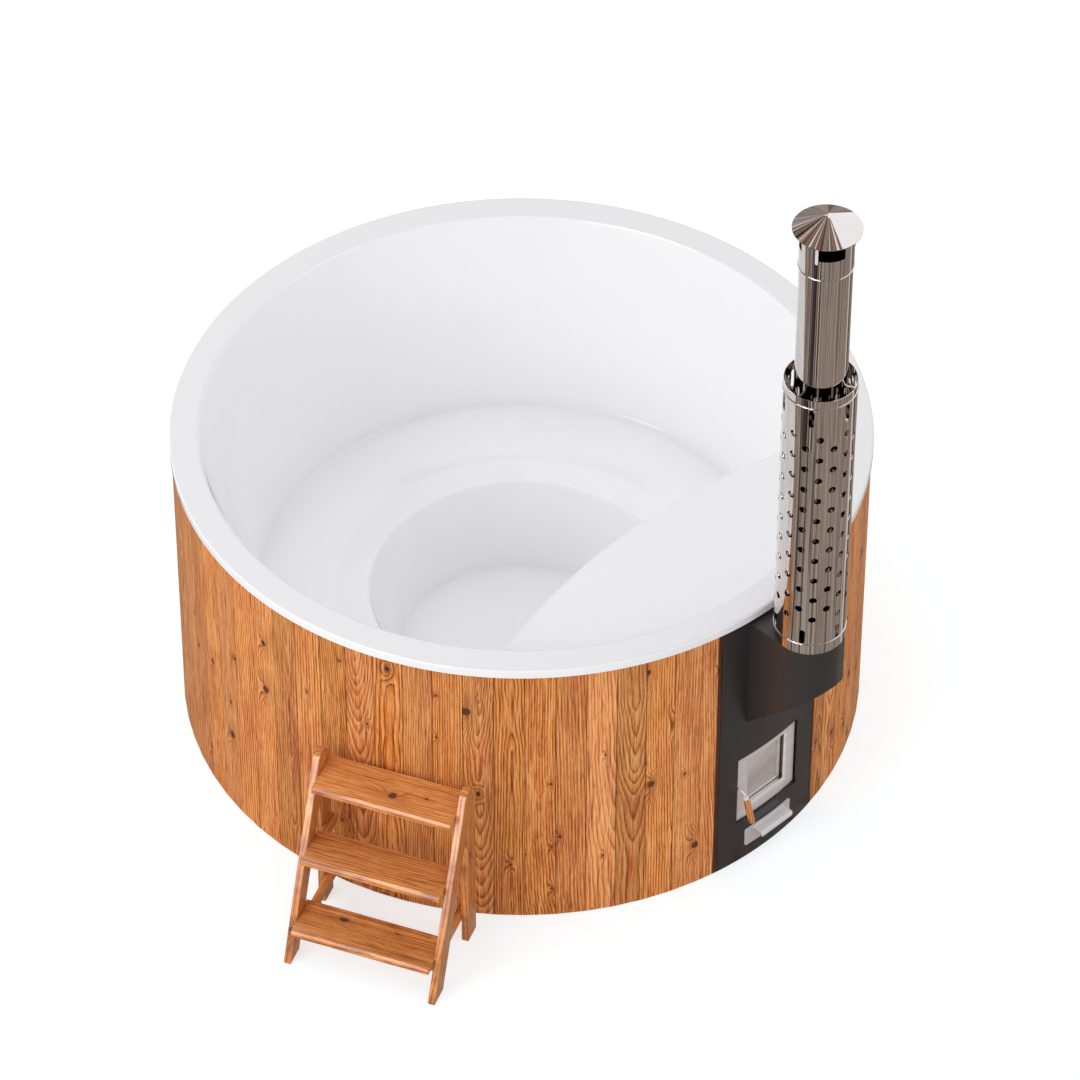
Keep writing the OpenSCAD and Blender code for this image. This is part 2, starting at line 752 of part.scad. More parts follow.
module stove_panel() {
    h = board_top_z - board_lift;
    color(charcoal) difference() {
        union() {
            translate([0, 0, board_lift]) intersection() {
                tube(clad_r, panel_in_r, h, large_fn);
                sector(panel_left_deg - 360 + board_half_gap_deg, panel_right_deg - board_half_gap_deg, h);
            }
            at_stove() for (s = [-1, 1]) rotate([0, 0, s * (panel_half_deg - board_half_gap_deg)])
                block([panel_in_r - flange_d, s > 0 ? -sheet_t : 0, board_lift],
                    [clad_r - 1, s > 0 ? 0 : sheet_t, top_ring_z]);
            // the sill folded inwards under the door
            intersection() {
                translate([0, 0, opening_z0 - sheet_t])
                    tube(clad_r - 1, panel_in_r - sill_d, sheet_t, large_fn);
                at_stove() block([stove_front_x, -opening_half_w, 0], [rim_r, opening_half_w, opening_z0]);
            }
        }
        at_stove() {
            block([stove_front_x, -opening_half_w, opening_z0], [rim_r, opening_half_w, opening_z1]);
            drawer_slot(drawer_slot_gap);
            translate([stove_front_x, 0, flue_z]) rotate([0, 90, 0])
                cylinder(r = flue_r + 2, h = rim_r - stove_front_x);
        }
    }
}

module panel_screws() {
    r = panel_screw_r;
    color(charcoal) at_stove() for (s = [-1, 1], i = [0:2])
        rotate([0, 0, s * (panel_half_deg - 0.9)])
            translate([clad_r, 0, panel_screw_z + i * panel_screw_pitch]) rotate([0, 90, 0])
                rotate_extrude() polygon([[0, 0], [r, 0], [r * 0.75, r * 0.4], [0, r * 0.56]]);
}

// ---- stove ----

module stove_body() {
    color(steel) at_stove() difference() {
        union() {
            difference() {
                block([stove_back_x, -stove_half_w, stove_z0], [stove_front_x, stove_half_w, stove_z1]);
                // the water jacket
                difference() {
                    block([stove_back_x + plate_t, -stove_half_w + plate_t, ledge_z + plate_t],
                        [stove_front_x - plate_t, stove_half_w - plate_t, stove_z1 - plate_t]);
                    block([chamber_back_x - plate_t, -chamber_half_w - plate_t, 0],
                        [stove_front_x, chamber_half_w + plate_t, chamber_top_z + plate_t]);
                }
            }
            // the collar that the door closes on
            difference() {
                block([stove_front_x - eps, -fire_half_w - 14, gasket_z0 - 6],
                    [collar_front_x, fire_half_w + 14, gasket_z1 + 6]);
                block([stove_front_x - 1, -fire_half_w, gasket_z0 + 8],
                    [collar_front_x + 1, fire_half_w, gasket_z1 - 8]);
            }
        }
        // the fire chamber and its opening
        block([chamber_back_x, -chamber_half_w, ledge_z],
            [stove_front_x - plate_t, chamber_half_w, chamber_top_z]);
        block([stove_front_x - plate_t - 1, -fire_half_w, gasket_z0 + 8],
            [stove_front_x + 1, fire_half_w, gasket_z1 - 8]);
        // the ash space below the grate
        block([stove_back_x + plate_t, -stove_half_w + plate_t, stove_z0 + plate_t],
            [stove_front_x - plate_t, stove_half_w - plate_t, ledge_z - plate_t]);
        block([chamber_back_x, -ledge_half_w, stove_z0 + plate_t],
            [stove_front_x + 1, ledge_half_w, ledge_z + eps]);
        translate([stove_front_x - 20, 0, flue_z]) rotate([0, 90, 0]) cylinder(r = elbow_out_r + 0.3, h = 40);
        for (i = [0, 1]) translate([stove_back_x - 1, (i == 0 ? -1 : 1) * pipe_offset, pipe_z[i]])
            rotate([0, 90, 0]) cylinder(r = water_pipe_r - 2, h = plate_t + 2);
    }
}

module stove_feet() {
    foot = 36;
    color(iron) at_stove() for (x = [stove_back_x + 12, stove_front_x - 12 - foot], s = [-1, 1])
        translate([x, s * (stove_half_w - 12 - foot / 2) - foot / 2, 0]) cube([foot, foot, stove_z0]);
}

module fire_grate() {
    bars = 9;
    bar_w = 8;
    x0 = chamber_back_x + 4;
    x1 = stove_front_x - plate_t - 4;
    half = chamber_half_w - 4;
    pitch = (2 * half - bar_w) / (bars - 1);
    color(iron) at_stove() translate([0, 0, ledge_z]) {
        for (i = [0:bars - 1]) translate([x0, -half + i * pitch, 0]) cube([x1 - x0, bar_w, grate_t]);
        for (x = [x0, x1 - bar_w]) translate([x, -half, 0]) cube([bar_w, 2 * half, grate_t]);
    }
}

// the two ports in the housing's wall: local x points from the tub into the stove's bay
module at_ports() {
    at_stove() for (i = [0, 1]) let (s = i == 0 ? -1 : 1, turn = asin(pipe_offset / housing_r))
        translate([housing_centre_x, 0, pipe_z[i]]) rotate([0, 0, -s * turn])
            translate([-housing_r, 0, 0]) children();
}

module water_pipes() {
    color(steel) at_stove() for (i = [0, 1]) let (y = (i == 0 ? -1 : 1) * pipe_offset,
            x0 = housing_centre_x - sqrt(pow(housing_r, 2) - y * y) + 1.5)
        translate([x0, y, pipe_z[i]]) rotate([0, 90, 0])
            tube(water_pipe_r, water_pipe_r - 2, stove_back_x - x0);
}

module port_grilles() {
    holes = 6;
    color(steel) at_ports() translate([-3.5, 0, 0]) rotate([0, 90, 0]) difference() {
        cylinder(r = water_pipe_r + 14, h = 3.5);
        translate([0, 0, -1]) for (k = [0:holes - 1]) rotate([0, 0, 360 / holes * k])
            translate([12, 0, 0]) cylinder(r = 4, h = 6);
    }
}

module drawer_runners() {
    color(steel) at_stove() for (s = [-1, 1])
        translate([chamber_back_x + 6, s * (tray_w / 2 - 14) - 5, stove_z0 + plate_t])
            cube([stove_front_x - chamber_back_x - 10, 10, 3]);
}

// ---- door ----

// the door's blank: a flat back and a front that follows the cladding
module door_blank(r) {
    intersection() {
        cylinder(r = r, h = tub_h, $fn = large_fn);
        at_stove() block([door_back_x, -door_half_w, door_z0], [rim_r, door_half_w, door_z1]);
    }
}

// the window's hole with its bevelled front edge
module window_cut() {
    at_stove() {
        block([door_back_x - 1, -window_w / 2, window_z0], [rim_r, window_w / 2, window_z0 + window_h]);
        // bevel, cut by planes that lean outwards
        for (s = [-1, 1]) {
            translate([door_r - window_bevel, s * window_w / 2, 0])
                rotate([0, 0, s * 45]) block([0, -12, window_z0], [12, 12, window_z0 + window_h]);
        }
        for (s = [0, 1]) translate([door_r - window_bevel, 0, window_z0 + s * window_h])
            rotate([0, s == 0 ? 45 : -45, 0]) block([0, -window_w / 2, -12], [12, window_w / 2, 12]);
        // the rebate that takes the glass
        block([door_back_x - 1, -window_w / 2 - rebate, window_z0 - rebate],
            [rebate_x, window_w / 2 + rebate, window_z0 + window_h + rebate]);
    }
}

module door_frame() {
    color(steel) difference() {
        door_blank(door_r);
        window_cut();
        at_stove() {
            translate([pivot_x, pivot_y, door_z0 - 1]) cylinder(r = pin_r, h = pin_grip + 1);
            translate([pivot_x, pivot_y, door_z1 - pin_grip]) cylinder(r = pin_r, h = pin_grip + 1);
            translate([door_back_x - 1, spindle_y, spindle_z]) rotate([0, 90, 0])
                cylinder(r = spindle_r + run_gap, h = 60);
        }
    }
}

module door_glass() {
    color(glassy) at_stove() block([glass_x, -window_w / 2 - rebate + 1, window_z0 - rebate + 1],
        [glass_x + glass_t, window_w / 2 + rebate - 1, window_z0 + window_h + rebate - 1]);
}

module glass_retainer() {
    w = window_w / 2 - retainer_gap;
    x0 = glass_x + glass_t + 0.2;
    color(steel) at_stove() difference() {
        block([x0, -w, window_z0 + retainer_gap], [x0 + retainer_t, w, window_z0 + window_h - retainer_gap]);
        block([x0 - 1, -w + retainer_w, window_z0 + retainer_gap + retainer_w],
            [x0 + retainer_t + 1, w - retainer_w, window_z0 + window_h - retainer_gap - retainer_w]);
    }
}

module glass_clips() {
    color(steel) at_stove() for (s = [-1, 1], z = [window_z0 + 40, window_z0 + window_h - 40])
        block([glass_x - 2.2, s * (window_w / 2 + rebate / 2) - rebate / 2, z - 8],
            [glass_x - 0.2, s * (window_w / 2 + rebate / 2) + rebate / 2, z + 8]);
}

module door_gasket() {
    color(dark) at_stove() translate([door_back_x - 2 * gasket_r, 0, (gasket_z0 + gasket_z1) / 2])
        rotate([0, 90, 0]) linear_extrude(2 * gasket_r) difference() {
            round_rect(gasket_z1 - gasket_z0, 2 * gasket_half_w, 12);
            round_rect(gasket_z1 - gasket_z0 - 12, 2 * gasket_half_w - 12, 6);
        }
}

module hinge_pins() {
    color(steel) at_stove() translate([pivot_x, pivot_y, 0]) {
        h = pin_grip + hinge_lug_gap + hinge_lug_t;
        translate([0, 0, door_z1 - pin_grip]) cylinder(r = pin_r, h = h);
        translate([0, 0, door_z0 + pin_grip - h]) cylinder(r = pin_r, h = h);
    }
}

module hinge_brackets() {
    color(iron) at_stove() for (z = [door_z1 + hinge_lug_gap, door_z0 - hinge_lug_gap - hinge_lug_t])
        difference() {
            union() {
                block([stove_front_x, pivot_y - 10, z],
                    [pivot_x + hinge_lug_reach, pivot_y + 6, z + hinge_lug_t]);
                block([stove_front_x, pivot_y - 10, z - 8],
                    [stove_front_x + 5, pivot_y + 6, z + hinge_lug_t + 8]);
            }
            translate([pivot_x, pivot_y, z - 1]) cylinder(r = pin_r + run_gap, h = hinge_lug_t + 2);
        }
}

module handle_spindle() {
    color(polished) at_stove() translate([cam_x - 3, spindle_y, spindle_z]) rotate([0, 90, 0])
        cylinder(r = spindle_r, h = door_r - 1.5 - cam_x + 3);
}

module latch_cam() {
    color(steel) at_stove() translate([cam_x, spindle_y, spindle_z]) rotate([0, 90, 0])
        difference() {
            union() {
                cylinder(r = cam_w / 2, h = cam_t);
                translate([-cam_len, -cam_w / 2, 0]) cube([cam_len, cam_w, cam_t]);
            }
            translate([0, 0, -1]) cylinder(r = spindle_r, h = cam_t + 2);
        }
}

module latch_keeper() {
    y1 = -door_half_w - 3;
    color(steel) at_stove() difference() {
        block([stove_front_x, y1 - 12, spindle_z - 14], [door_back_x + keeper_t, y1, spindle_z + 14]);
        block([stove_front_x + 4, y1 - 9, spindle_z - 15], [door_back_x - 0.3, y1 + 1, spindle_z + 15]);
    }
}

// the handle's shapes lie in the upright plane through the spindle
module handle_plane() { at_stove() translate([0, spindle_y, 0]) children(); }

// from the end of the bend, local z points along the grip
module at_grip() {
    handle_plane() translate([bend_end.x, 0, bend_end.y]) rotate([0, 90 + rod_bend_deg, 0]) children();
}

module handle_rod() {
    color(polished) {
        handle_plane() {
            translate([door_r - 1.5, 0, spindle_z]) rotate([0, 90, 0])
                cylinder(r = rod_r, h = rod_straight);
            translate([rod_end_x, 0, spindle_z - rod_bend_r]) rotate([90, 0, 0])
                rotate([0, 0, 90 - rod_bend_deg]) rotate_extrude(angle = rod_bend_deg)
                    translate([rod_bend_r, 0]) circle(r = rod_r);
        }
        at_grip() cylinder(r = rod_r, h = ferrule_len);
    }
}

module handle_ferrule() {
    color(polished) at_grip() difference() {
        rotate_extrude() polygon([[0, 0], [grip_r * 0.6, 0], [grip_r * 0.85, 2],
            [grip_r * 0.92, ferrule_len], [0, ferrule_len]]);
        translate([0, 0, -1]) cylinder(r = rod_r, h = ferrule_len + 2);
    }
}

module handle_grip() {
    color(larch) at_grip() translate([0, 0, ferrule_len]) rotate_extrude()
        polygon(concat([[0, 0]],
            [for (i = [0:8]) [grip_r * (0.88 + 0.12 * sin(180 * i / 8)), (grip_len - 3) * i / 8]],
            [[grip_r * 0.6, grip_len], [0, grip_len]]));
}

// ---- ash drawer ----

module ash_tray() {
    half = tray_w / 2 + tray_wall;
    front_r = plate_in_r - 0.1;
    color(steel) difference() {
        intersection() {
            at_stove() block([tray_back_x, -half, tray_z0], [rim_r + 9, half, tray_z0 + tray_h]);
            cylinder(r = front_r, h = tub_h, $fn = large_fn);
        }
        intersection() {
            at_stove() block([tray_back_x + tray_wall, -tray_w / 2, tray_z0 + tray_wall],
                [rim_r + 9, tray_w / 2, tray_z0 + tray_h + 1]);
            cylinder(r = front_r - tray_wall, h = tub_h, $fn = large_fn);
        }
    }
}

module drawer_plate() {
    h = drawer_plate_z1 - drawer_plate_z0;
    color(steel) intersection() {
        tube(plate_out_r, plate_in_r, tub_h, large_fn);
        at_stove() translate([clad_r - 20, 0, drawer_plate_z0 + h / 2]) rotate([0, 90, 0])
            linear_extrude(60) round_rect(h, drawer_plate_w, 8);
    }
}

module drawer_pull() {
    t = 2;
    x1 = plate_out_r + pull_d;
    color(steel) at_stove() {
        difference() {
            block([plate_out_r - drawer_plate_t / 2, -pull_w / 2, pull_z - t], [x1 - 3, pull_w / 2, pull_z]);
            at_stove_back_cut();
        }
        upright(-pull_w / 2, pull_w) translate([x1 - 3, pull_z - 3]) intersection() {
            difference() {
                circle(r = 3);
                circle(r = 3 - t);
            }
            square(4);
        }
        translate([x1 - t, 0, 0]) rotate([0, 90, 0]) linear_extrude(t) union() {
            translate([-pull_z + 3, -pull_w / 2]) square([pull_lip - 9, pull_w]);
            translate([-pull_z + pull_lip / 2, 0]) round_rect(pull_lip - 2, pull_w, 5);
        }
    }
}

// removes what the plate already fills behind the pull
module at_stove_back_cut() {
    rotate([0, 0, 90]) cylinder(r = plate_out_r, h = tub_h, $fn = large_fn);
}

// ---- chimney ----

// plan of the hood, grown inwards by inset
module hood_plan(inset) {
    r = hood_r - inset;
    translate([chimney_x, 0]) circle(r = r);
    translate([clad_r - 30, -r]) square([chimney_x - clad_r + 30, 2 * r]);
}

// half space above the hood's sloping underside, moved up by lift
module hood_wedge(lift) {
    spare = 60;
    half_w = hood_r + spare;
    start = clad_r - spare;
    run = chimney_x + half_w - start;
    low = hood_z0 - spare + clad_r - panel_x0 + lift;
    upright(-half_w, 2 * half_w) polygon([[start, low], [start + run, low + run],
        [start + run, tub_h + spare], [start, tub_h + spare]]);
}

module chimney_hood() {
    t = 3;
    color(charcoal) difference() {
        at_stove() intersection() {
            linear_extrude(hood_z1) hood_plan(0);
            hood_wedge(0);
        }
        at_stove() intersection() {
            linear_extrude(hood_z1 - t) hood_plan(t);
            hood_wedge(t * sqrt(2));
        }
        cylinder(r = hood_back_r, h = tub_h, $fn = large_fn);
        at_chimney() translate([0, 0, hood_z1 - t - 1]) cylinder(r = flue_r + 0.5, h = t + 2);
    }
}

module flue_elbow() {
    in_r = elbow_out_r - flue_t;
    centre_x = chimney_x - elbow_r;
    start_x = stove_front_x - plate_t;
    color(steel) at_stove() {
        translate([start_x, 0, flue_z]) rotate([0, 90, 0]) tube(elbow_out_r, in_r, centre_x - start_x);
        translate([centre_x, 0, flue_z + elbow_r]) rotate([90, 0, 0]) rotate([0, 0, -90])
            rotate_extrude(angle = 90) translate([elbow_r, 0]) difference() {
                circle(r = elbow_out_r);
                circle(r = in_r);
            }
        translate([chimney_x, 0, flue_z + elbow_r]) tube(elbow_out_r, in_r, 80);
    }
}

module flue_pipe() {
    color(polished) at_chimney() {
        translate([0, 0, flue_z + elbow_r + 10])
            tube(flue_r, flue_in_r, flue_top_z - flue_z - elbow_r - 10);
    }
}

module chimney_base_ring() {
    color(polished) at_chimney() translate([0, 0, hood_z1])
        tube(guard_r - guard_t - 0.3, flue_r + 0.3, base_ring_t);
}

// a rolled bead round a tube
module bead(r, z, thick) {
    translate([0, 0, z]) rotate_extrude() translate([r, 0]) circle(r = thick, $fn = 24);
}

module chimney_guard() {
    // centre and height of the slots at the foot and at the head
    slots = [[hood_z1 + 39 + slot_h / 2, slot_h], [guard_top_z - 33 - slot_head_h / 2, slot_head_h]];
    color(polished) at_chimney() {
        difference() {
            union() {
                translate([0, 0, hood_z1]) tube(guard_r, guard_r - guard_t, guard_h);
                difference() {
                    union() {
                        bead(guard_r, hood_z1 + 35.4, 2);
                        bead(guard_r, guard_top_z - 28, 2);
                    }
                    cylinder(r = guard_r - guard_t, h = guard_top_z + 10);
                }
            }
            for (c = [0:guard_columns - 1]) let (odd = c % 2, rows = guard_rows - odd)
                rotate([0, 0, c * 360 / guard_columns]) for (k = [0:rows - 1])
                    translate([guard_r - 12, 0, guard_hole_z + (k + odd / 2) * guard_hole_pitch])
                        rotate([0, 90, 0]) cylinder(r = guard_hole_r, h = 24);
            for (a = [30:60:359], slot = slots) rotate([0, 0, a]) translate([guard_r - 12, 0, slot[0]])
                rotate([0, 90, 0]) linear_extrude(24) {
                    square([slot[1] - slot_w, slot_w], center = true);
                    for (s = [-1, 1]) translate([s * (slot[1] - slot_w) / 2, 0]) circle(r = slot_w / 2);
                }
        }
    }
}

module guard_spacers() {
    color(polished) at_chimney() for (a = [0:120:359], z = [hood_z1 + 22, guard_top_z - 14])
        rotate([0, 0, a + 60]) translate([flue_r, 0, z]) rotate([0, 90, 0])
            cylinder(r = 3, h = guard_r - guard_t - 0.1 - flue_r);
}

module cap_sleeve() {
    in_r = flue_r + 0.2;
    out_r = in_r + 1.3;
    z0 = cap_bead_z - 2;
    color(polished) at_chimney() difference() {
        union() {
            translate([0, 0, z0]) tube(out_r, in_r, cone_z - 3 - z0);
            difference() {
                bead(out_r, cap_bead_z, 2);
                cylinder(r = in_r, h = cone_z);
            }
        }
        for (a = window_starts) translate([0, 0, cap_window_z])
            sector(a, a + cap_window_deg, cone_z - cap_window_z);
    }
}

module cap_cone() {
    color(polished) at_chimney() rotate_extrude() polygon([[0, cone_z + cone_h],
        [cone_r, cone_z], [cone_r, cone_z - cone_t], [0, cone_z + cone_h - cone_t]]);
}

module cap_straps() {
    in_r = flue_r + 1.7;
    top = cone_z - cone_t + cone_h * (1 - (in_r + 1.6) / cone_r) - 0.1;
    color(polished) at_chimney() for (a = strap_angles) rotate([0, 0, a])
        translate([in_r, 0, 0]) {
            translate([0, -4, cap_window_z - 8]) cube([1.6, 8, top - cap_window_z + 8]);
            translate([0, 0, cap_window_z - 8]) rotate([0, 90, 0]) cylinder(r = 4, h = 1.6);
        }
}

// ---- steps ----

// outline of an inclined stringer in its own plane, with a round head
module stringer_outline() {
    z1 = stringer_head_z + stringer_half * sin(stringer_lean_deg);
    z0 = stringer_head_z - stringer_half * sin(stringer_lean_deg);
    polygon([[stringer_back(0), 0], [stringer_front(0), 0], [stringer_front(z1), z1],
        [stringer_back(z0), z0]]);
    translate([head_x, stringer_head_z]) circle(r = stringer_half);
}

// outline of an upright leg, cut to lie against the stringer's back
module leg_outline() {
    round_r = 40;
    front = leg_back + leg_d;
    meet_front = (stringer_back(0) - front) / lean;
    meet_back = (stringer_back(0) - leg_back) / lean;
    intersection() {
        polygon([[leg_back, 0], [front, 0], [front, meet_front], [leg_back, meet_back]]);
        union() {
            translate([leg_back - 1, -1]) square([leg_d + 2, stringer_head_z - 14]);
            translate([leg_back + round_r, stringer_head_z - 15]) circle(r = round_r);
        }
    }
}

module left_stringer() { color(larch) at_steps() upright(-steps_w / 2, step_board_t) stringer_outline(); }

module right_stringer() {
    color(larch) at_steps() upright(steps_w / 2 - step_board_t, step_board_t) stringer_outline();
}

module left_leg() { color(larch) at_steps() upright(-steps_w / 2, step_board_t) leg_outline(); }

module right_leg() { color(larch) at_steps() upright(steps_w / 2 - step_board_t, step_board_t) leg_outline(); }

function tread_top_z(i) = tread_z + i * tread_rise;
function tread_front(i) = stringer_front(tread_top_z(i)) + tread_nose;

// tread i, counted from the ground, with a rounded front edge
module tread(i) {
    z = tread_top_z(i);
    x1 = tread_front(i);
    nose = 6;
    depth = tread_depths[i];
    color(larch) at_steps() upright(-inner_w / 2 + tread_end_gap, inner_w - 2 * tread_end_gap) {
        translate([x1 - depth, z - tread_t]) square([depth - nose, tread_t]);
        translate([x1 - nose - 1, z - tread_t]) square([nose + 1, tread_t - nose]);
        translate([x1 - nose, z - nose]) circle(r = nose);
    }
}

module top_tread() { tread(2); }

module middle_tread() { tread(1); }

module bottom_tread() { tread(0); }

module rear_rail() {
    back = tread_front(0) - tread_depths[0];
    color(larch) at_steps() block([back - 20, -inner_w / 2 + tread_end_gap, tread_z - tread_t],
        [back, inner_w / 2 - tread_end_gap, tread_z + rail_rise]);
}

// the supports run from the stringers to the legs' backs under each tread
module tread_cleats() {
    color(larch) at_steps() for (i = [0:2], s = [-1, 1]) let (z = tread_top_z(i) - tread_t,
            y = s > 0 ? inner_w / 2 - cleat_w : -inner_w / 2)
        block([leg_back, y, z - cleat_h], [stringer_front(z) - 8, y + cleat_w, z]);
}

module step_screws() {
    color(steel) at_steps() for (i = [0:2], s = [-1, 1])
        let (z = tread_top_z(i) - tread_t - cleat_h / 2, y = s * (inner_w / 2 - cleat_w))
            for (x = [leg_back + 24, stringer_front(z) - 34])
                translate([x, y, z]) rotate([s * 90, 0, 0]) rotate_extrude()
                    polygon([[0, 0], [4, 0], [3, 1.2], [0, 1.6]]);
}

shell_rim();
bathing_wall();
seat_ring();
footwell_pan();
cladding_boards();
top_ring();
middle_ring();
bottom_ring();
frame_studs();
base_floor();
base_joists();
drain_strainer();
drain_elbow();
drain_pipe();
drain_valve();
drain_ball();
drain_lever();
stove_panel();
panel_screws();
stove_body();
stove_feet();
fire_grate();
water_pipes();
port_grilles();
drawer_runners();
latch_keeper();
hinge_brackets();
door_frame();
door_glass();
glass_retainer();
glass_clips();
door_gasket();
hinge_pins();
handle_spindle();
latch_cam();
handle_rod();
handle_ferrule();
handle_grip();
ash_tray();
drawer_plate();
drawer_pull();
chimney_hood();
flue_elbow();
flue_pipe();
chimney_base_ring();
chimney_guard();
guard_spacers();
cap_sleeve();
cap_cone();
cap_straps();
left_stringer();
right_stringer();
left_leg();
right_leg();
top_tread();
middle_tread();
bottom_tread();
rear_rail();
tread_cleats();
step_screws();
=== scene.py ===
"""Looks of the wood-fired hot tub: camera, light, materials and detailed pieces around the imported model."""

import json
import math

import bmesh
import bpy
from mathutils import Matrix, Vector


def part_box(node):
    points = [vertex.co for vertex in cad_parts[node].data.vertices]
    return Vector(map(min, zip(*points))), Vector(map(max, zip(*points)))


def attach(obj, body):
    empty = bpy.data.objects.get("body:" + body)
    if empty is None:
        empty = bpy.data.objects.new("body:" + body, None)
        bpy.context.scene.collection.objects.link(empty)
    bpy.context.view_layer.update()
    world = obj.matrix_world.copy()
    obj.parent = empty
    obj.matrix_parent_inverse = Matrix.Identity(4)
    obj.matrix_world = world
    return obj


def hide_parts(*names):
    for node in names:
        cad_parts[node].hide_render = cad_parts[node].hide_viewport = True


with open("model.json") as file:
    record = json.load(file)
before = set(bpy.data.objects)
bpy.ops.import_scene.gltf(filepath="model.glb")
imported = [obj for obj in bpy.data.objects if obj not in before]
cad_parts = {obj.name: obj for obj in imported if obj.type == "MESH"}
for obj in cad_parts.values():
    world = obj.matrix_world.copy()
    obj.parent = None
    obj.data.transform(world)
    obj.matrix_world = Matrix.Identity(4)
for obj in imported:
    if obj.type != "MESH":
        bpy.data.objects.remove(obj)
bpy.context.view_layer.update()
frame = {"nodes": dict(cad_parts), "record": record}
NODES = frame["nodes"]
scene = bpy.context.scene

# ---------------------------------------------------------------- camera
# fitted to the rim's ellipse, the steps and the chimney in the photograph; angles in radians
CAM_POS = Vector((-8.7422, -8.8296, 12.2293))
CAM_HEADING = math.radians(-44.96)
CAM_PITCH = 0.755625
CAM_ROLL = 0.0020199
FOCAL_PX = 5904.47
IMAGE_PX = 1080
SENSOR_MM = 36.0
CLIP_END = 100


def make_camera():
    turn = Matrix.Rotation(CAM_HEADING, 3, "Z")
    right = turn @ Vector((1, 0, 0))
    up = turn @ Vector((0, math.sin(CAM_PITCH), math.cos(CAM_PITCH)))
    forward = turn @ Vector((0, math.cos(CAM_PITCH), -math.sin(CAM_PITCH)))
    c, s = math.cos(CAM_ROLL), math.sin(CAM_ROLL)
    x_axis, y_axis = c * right + s * up, c * up - s * right
    data = bpy.data.cameras.new("camera")
    data.sensor_width = SENSOR_MM
    data.lens = FOCAL_PX / IMAGE_PX * SENSOR_MM
    data.clip_end = CLIP_END
    camera = bpy.data.objects.new("camera", data)
    camera.matrix_world = Matrix((x_axis, y_axis, -forward)).transposed().to_4x4()
    camera.matrix_world.translation = CAM_POS
    scene.collection.objects.link(camera)
    scene.camera = camera


# ---------------------------------------------------------------- node helpers
class Tree:
    """A short way to write shader nodes: each call adds a node and returns its output."""

    def __init__(self, name, owner=None):
        self.material = owner or bpy.data.materials.new(name)
        self.material.use_nodes = True
        self.nt = self.material.node_tree
        self.bsdf = self.nt.nodes.get("Principled BSDF")
        self.out = self.nt.nodes.get("Material Output")

    def node(self, kind, **settings):
        n = self.nt.nodes.new("ShaderNode" + kind)
        for key, value in settings.items():
            setattr(n, key, value)
        return n

    def put(self, socket, value):
        if isinstance(value, bpy.types.NodeSocket):
            self.nt.links.new(value, socket)
        else:
            if socket.type == "RGBA" and len(value) == 3:
                value = (*value, 1)
            socket.default_value = value

    def math(self, op, a, b=None, c=None, clamp=False):
        n = self.node("Math", operation=op, use_clamp=clamp)
        for i, v in enumerate((a, b, c)):
            if v is not None:
                self.put(n.inputs[i], v)
        return n.outputs[0]

    def hypot(self, a, b):
        return self.math("SQRT", self.math("ADD", self.math("POWER", a, 2.0), self.math("POWER", b, 2.0)))

    def swing(self, noise, amount):
        """A noise of 0 to 1 turned into a shift to both sides."""
        return self.math("MULTIPLY", self.math("SUBTRACT", noise, 0.5), amount)

    def turn_from(self, angle, middle):
        """The angle past the middle one, from -180 to 180 degrees."""
        return self.math("WRAP", self.math("SUBTRACT", angle, middle), 180.0, -180.0)

    def stretched(self, vector, factors):
        n = self.node("VectorMath", operation="MULTIPLY")
        self.put(n.inputs[0], vector)
        self.put(n.inputs[1], factors)
        return n.outputs[0]

    def combine(self, x, y, z):
        n = self.node("CombineXYZ")
        for i, v in enumerate((x, y, z)):
            self.put(n.inputs[i], v)
        return n.outputs[0]

    def separate(self, v):
        n = self.node("SeparateXYZ")
        self.put(n.inputs[0], v)
        return n.outputs

    def coords(self):
        return self.node("TexCoord").outputs["Object"]

    def attribute(self, name, output="Fac"):
        return self.node("Attribute", attribute_name=name).outputs[output]

    def light_path(self, *rays):
        """1 for the named kinds of ray."""
        path = self.node("LightPath").outputs
        total = path[rays[0]]
        for name in rays[1:]:
            total = self.math("MAXIMUM", total, path[name])
        return total

    def noise(self, vector, scale, detail=3.0, rough=0.5, distort=0.0):
        n = self.node("TexNoise")
        self.put(n.inputs["Vector"], vector)
        self.put(n.inputs["Scale"], scale)
        self.put(n.inputs["Detail"], detail)
        self.put(n.inputs["Roughness"], rough)
        self.put(n.inputs["Distortion"], distort)
        return n.outputs[0]

    def ramp(self, fac, stops):
        """A colour ramp: the stops hold positions and greys or colours."""
        n = self.node("ValToRGB")
        elements = n.color_ramp.elements
        while len(elements) < len(stops):
            elements.new(0.5)
        for element, (position, col) in zip(elements, stops):
            element.position = position
            element.color = (col, col, col, 1) if isinstance(col, float) else (*col, 1)
        self.put(n.inputs[0], fac)
        return n.outputs[0]

    def remap(self, value, lo, hi, to_lo=0.0, to_hi=1.0):
        n = self.node("MapRange")
        for i, v in enumerate((value, lo, hi, to_lo, to_hi)):
            self.put(n.inputs[i], v)
        return n.outputs[0]

    def mix(self, fac, a, b):
        n = self.node("Mix", data_type="RGBA")
        self.put(n.inputs[0], fac)
        self.put(n.inputs[6], a)
        self.put(n.inputs[7], b)
        return n.outputs[2]

    def bump(self, height, strength, distance=0.001):
        n = self.node("Bump")
        self.put(n.inputs["Height"], height)
        self.put(n.inputs["Strength"], strength)
        self.put(n.inputs["Distance"], distance)
        return n.outputs[0]

    def finish(self, **sockets):
        """Sets the Principled shader's sockets and returns the material."""
        for key, value in sockets.items():
            self.put(self.bsdf.inputs[key.replace("_", " ")], value)
        return self.material


def srgb(r, g, b):
    """A colour as the screen shows it, 0 to 255, as Blender's linear colour."""
    def one(v):
        v /= 255
        return v / 12.92 if v <= 0.04045 else ((v + 0.055) / 1.055) ** 2.4
    return (one(r), one(g), one(b))


